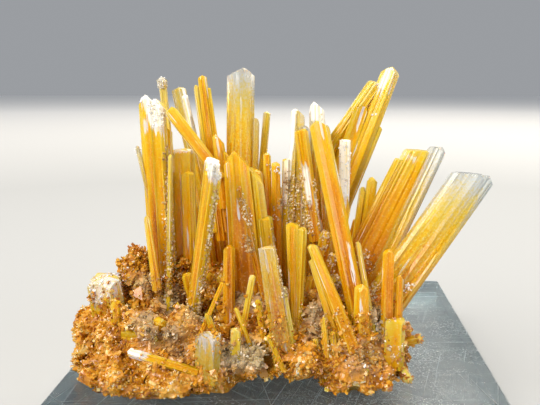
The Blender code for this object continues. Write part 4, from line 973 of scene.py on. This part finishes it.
def make_crust():
    """The lumps of the base run together and roughened, flat below where the base rests."""
    bm = bmesh.new()
    for seed, spec in enumerate(LUMPS, 1):
        made = bmesh.ops.create_icosphere(bm, subdivisions=3, radius=1.0)["verts"]
        centre = Vector(spec.centre) + Vector((0.0, 0.0, BLOCK_HEIGHT))
        for vert in made:
            place = vert.co * 1.7 + Vector((seed * 3.1, seed * 1.7, 0.0))
            wave = noise.noise(place) + 0.6 * noise.noise(place * 2.3)
            size = 0.95 + LUMP_ROUGHNESS * wave
            vert.co = (centre + Vector([c * r * size for c, r in zip(vert.co, spec.size)])) * MM
    crust = new_object("drusy_crust", bm)
    blend = crust.modifiers.new("blend", "REMESH")
    blend.mode = "VOXEL"
    blend.voxel_size = CRUST_VOXEL * MM
    bpy.context.view_layer.update()
    seen = crust.evaluated_get(bpy.context.evaluated_depsgraph_get())
    solid = bpy.data.meshes.new_from_object(seen)
    crust.modifiers.clear()
    crust.data = solid
    solid.name = "drusy_crust"
    floor = BLOCK_HEIGHT + GAP
    places = read(solid.vertices, "co", 3) / MM
    normals = read(solid.vertices, "normal", 3)
    tones = np.ones((len(places), 4), np.float32)
    for n in range(len(places)):
        place = Vector(places[n])
        crag = noise.cell(place * 0.45) * 0.9 + noise.cell(place * 0.9 + Vector((5, 3, 1))) * 0.5
        crag += noise.noise(place * 0.6) * 0.6 + noise.noise(place * 0.25) * 1.4
        places[n] += normals[n] * (crag - 1.0) * CRUST_CRAG
        tones[n, 0] = 0.35 + 0.3 * noise.noise(place * 0.12) + 0.2 * noise.noise(place * 0.5)
    ring = ((places[:, :2] - ARCH_CENTRE) / ARCH_SIZE[:2]) ** 2
    roof = floor + ARCH_SIZE[2] * np.sqrt(np.clip(1 - ring.sum(axis=1), 0, 1))
    places[:, 2] = np.maximum(places[:, 2], roof)
    places = np.clip(places, LOW + 0.1, HIGH - 0.1)
    solid.vertices.foreach_set("co", (places * MM).ravel())
    tones[:, 2] = 0.8 * nearness(places, DUSTY)
    set_tones(solid, tones)
    dress(crust, [CRUST], "drusy_base")
    return crust


def points_on(things, count, seed):
    """Places, in millimetres, and normals of points strewn evenly over some pieces."""
    rng = np.random.default_rng(seed)
    corners = []
    for thing in things:
        mesh = thing.data
        mesh.calc_loop_triangles()
        index = read(mesh.loop_triangles, "vertices", 3, np.int32)
        corners.append(read(mesh.vertices, "co", 3)[index] / MM)
    corners = np.concatenate(corners)
    cross = np.cross(corners[:, 1] - corners[:, 0], corners[:, 2] - corners[:, 0])
    size = np.maximum(np.linalg.norm(cross, axis=1), 1e-12)
    pick = rng.choice(len(size), size=count, p=size / size.sum())
    a, b = rng.random((2, count, 1))
    flip = a + b > 1
    a, b = np.where(flip, 1 - a, a), np.where(flip, 1 - b, b)
    tri = corners[pick]
    place = tri[:, 0] + a * (tri[:, 1] - tri[:, 0]) + b * (tri[:, 2] - tri[:, 0])
    return place, (cross / size[:, None])[pick]


def grain_shape():
    """The vertices and triangles of one small crystal, a prism with a slanted end, of unit size."""
    bm = bmesh.new()
    bmesh.ops.create_cube(bm, size=1.0)
    cut_end(bm, *map(Vector, GRAIN_CUT))
    bmesh.ops.triangulate(bm, faces=bm.faces[:])
    verts = np.array([tuple(v.co) for v in bm.verts])
    faces = np.array([[v.index for v in f.verts] for f in bm.faces])
    bm.free()
    return verts, faces


def scatter(name, points, length, stout, material, tone, seed, upright=0.0, spread=0.5, streaks=(), fade=()):
    """A skin of small crystals on some points, joined as one mesh. Each is as wide as stout times its length.
    streaks are where they stand alone, and fade is where they turn dusty."""
    rng = np.random.default_rng(seed)
    place, normal = points
    chance = nearness(place, streaks) if streaks else 1.0 - nearness(place, BARE)
    good = rng.random(len(place)) < chance
    place, normal = place[good], normal[good]
    count = len(place)
    away = normal + rng.normal(0, spread, (count, 3))
    away[:, 2] += upright
    away /= np.linalg.norm(away, axis=1)[:, None]
    long = rng.uniform(length[0], length[1], count) * rng.uniform(0.6, 1.0, count)
    tip = place + away * long[:, None]
    good = np.all((tip > LOW + SIDE_MARGIN) & (tip < HIGH - SIDE_MARGIN), axis=1)
    good &= (place[:, 2] > BLOCK_HEIGHT + FOOT_MARGIN) & (tip[:, 2] > BLOCK_HEIGHT + TIP_MARGIN)
    place, away, long = place[good], away[good], long[good]
    count = len(place)
    side = np.cross(away, rng.normal(0, 1, (count, 3)))
    side /= np.linalg.norm(side, axis=1)[:, None]
    wide = long * rng.uniform(stout[0], stout[1], count)
    deep = wide * rng.uniform(0.45, 1.0, count)
    front = np.cross(away, side)
    axes = np.stack([side * wide[:, None], front * deep[:, None], away * long[:, None]], axis=1)
    verts, faces = grain_shape()
    points = place[:, None] + (verts + GRAIN_LIFT) @ axes
    index = faces[None] + (np.arange(count) * len(verts))[:, None, None]
    mesh = bpy.data.meshes.new(name)
    mesh.from_pydata((points.reshape(-1, 3) * MM).tolist(), [], index.reshape(-1, 3).tolist())
    tones = np.ones((count, len(verts), 4), np.float32)
    tones[:, :, 0] = np.clip(rng.normal(tone[0], tone[1], count), 0, 1)[:, None]
    dusty = nearness(place, fade) if fade else np.zeros(count)
    tones[:, :, 2] = (np.clip(dusty * 1.3 - rng.random(count) * 0.5, 0, 1))[:, None]
    set_tones(mesh, tones)
    return dress(link(bpy.data.objects.new(name, mesh)), [material])


def orange_druse(name, points, length, stout, tone, seed, upright=0.0, spread=0.5):
    return scatter(name, points, length, stout, ORANGE_DRUSE, tone, seed, upright, spread, fade=DUSTY)


def root_points(things):
    """Points on the crystals' roots, up to the wavy line that the druse climbs to."""
    places, normals = points_on(things, *ROOT_POINTS)
    wave = np.array([noise.noise(Vector(place) * ROOT_WAVE_SCALE) for place in places])
    line = np.interp(places[:, 0], *zip(*ROOT_LINE)) + ROOT_WAVE * wave
    chance = np.clip((line - places[:, 2]) / ROOT_THINNING, 0, ROOT_SHARE)
    low = np.random.default_rng(ROOT_SEED).random(len(line)) < chance
    return places[low], normals[low]


# ---- the block, the studio and the camera


def make_block():
    bm = bmesh.new()
    bmesh.ops.create_cube(bm, size=1.0)
    size = Matrix.Diagonal((BLOCK_WIDTH, BLOCK_WIDTH, BLOCK_HEIGHT, 1.0))
    place = Matrix.Translation((0.0, 0.0, BLOCK_HEIGHT / 2))
    bmesh.ops.transform(bm, matrix=Matrix.Scale(MM, 4) @ place @ size, verts=bm.verts)
    bmesh.ops.bevel(
        bm, geom=bm.edges[:], offset=BLOCK_EDGE * MM, segments=2, profile=0.5, affect="EDGES", material=-1
    )
    for face in bm.faces:
        face.material_index = 0 if abs(face.normal.z) > 0.5 else 1
    new_piece("acrylic_block", bm, [acrylic_top(), acrylic_side()], "display_block")


def make_light(name, place, size, power, colour):
    lamp = bpy.data.lights.new(name, "AREA")
    lamp.shape = "RECTANGLE"
    lamp.size, lamp.size_y = size
    lamp.energy = power
    lamp.color = linear(colour)[:3]
    thing = link(bpy.data.objects.new(name, lamp))
    thing.location = place
    thing.rotation_euler = (Vector(LIGHT_AIM) - Vector(place)).to_track_quat("-Z", "Y").to_euler()


def make_stage():
    bm = bmesh.new()
    bmesh.ops.create_grid(bm, x_segments=1, y_segments=1, size=FLOOR_SIZE)
    floor = new_object("studio_floor", bm)
    # a hair below the block, so that the block's underside is seen to lie on it
    floor.location.z = -FLOOR_DROP * MM
    mat, shader = base_material("studio_floor_paper", Roughness=0.9)
    place = position(shader)
    # the floor is painted darker near the part and paler with distance: painted light that evens out the
    # lamps' falloff, so that its far edge melts into the background
    far = add(shader.id_data, "ShaderNodeVectorMath", [("Vector", place)], operation="LENGTH")
    fill(shader, Base_Color=blend(span(far.outputs["Value"], 0.4, 1.6), "a2a4a6", "f4f5f6"))
    floor.data.materials.append(mat)
    scene = bpy.context.scene
    scene.view_settings.view_transform = VIEW
    world = bpy.data.worlds.new("soft_studio")
    scene.world = world
    world.use_nodes = True
    back = world.node_tree.nodes["Background"]
    fill(back, Color=SKY[0], Strength=SKY[1])
    for light in LIGHTS:
        make_light(*light)


def make_camera():
    lens = bpy.data.cameras.new("camera")
    lens.lens = CAMERA_LENS
    lens.sensor_width = CAMERA_SENSOR
    lens.clip_start = 0.01
    camera = link(bpy.data.objects.new("camera", lens))
    camera.location = Vector(CAMERA_PLACE) * MM
    camera.rotation_euler = (math.radians(90.0 - CAMERA_DOWN), 0.0, math.radians(CAMERA_LEFT))
    bpy.context.scene.camera = camera


def main():
    make_stage()
    make_camera()
    make_block()
    crystals = []
    for node, *looks, blades in GROUPS:
        crystals.append(blade_piece(node + "_selenite", blades, *looks, 1.0, node))
    mains = [spec for group in GROUPS for spec in group.blades]
    inner = blade_piece("inner_selenite_blades", inner_blades(mains), 16, (0.0, 0.36), {}, 0.8)
    stubs = blade_piece("base_selenite_stubs", BASE_CRYSTALS, 16, (0.20, 0.46), STUB_TONES, 0.7)
    crust = make_crust()
    under = points_on([crust], *SLAB_POINTS)
    slabs = orange_druse("slab_druse", under, (1.6, 4.0), (0.35, 0.8), (0.42, 0.11), 20, 0.0, 1.2)
    grown = [crust, slabs]
    lath, fine, finest = (points_on(grown, *how) for how in (LATH_POINTS, FINE_POINTS, FINEST_POINTS))
    orange_druse("lath_druse", lath, (0.8, 2.3), (0.22, 0.5), (0.42, 0.12), 21, 0.1, 0.8)
    orange_druse("fine_druse", fine, (0.5, 1.1), (0.6, 1.0), (0.46, 0.13), 22)
    orange_druse("finest_druse", finest, (0.35, 0.8), (0.6, 1.0), (0.50, 0.17), 23)
    near = points_on(crystals + [inner, stubs, crust], *SEAM_POINTS)
    roots = root_points(crystals + [inner, stubs])
    orange_druse("root_druse", roots, (0.4, 1.2), (0.4, 0.9), (0.44, 0.18), 26)
    scatter("sugar_caps", near, (0.3, 0.7), (0.6, 1.0), SUGAR, (0.6, 0.3), 24, 0.0, 0.7, SUGAR_PLACES)
    scatter("dust_seams", near, (0.25, 0.6), (0.7, 1.1), DUST, (0.55, 0.25), 25, 0.0, 0.7, DUST_PLACES)


main()
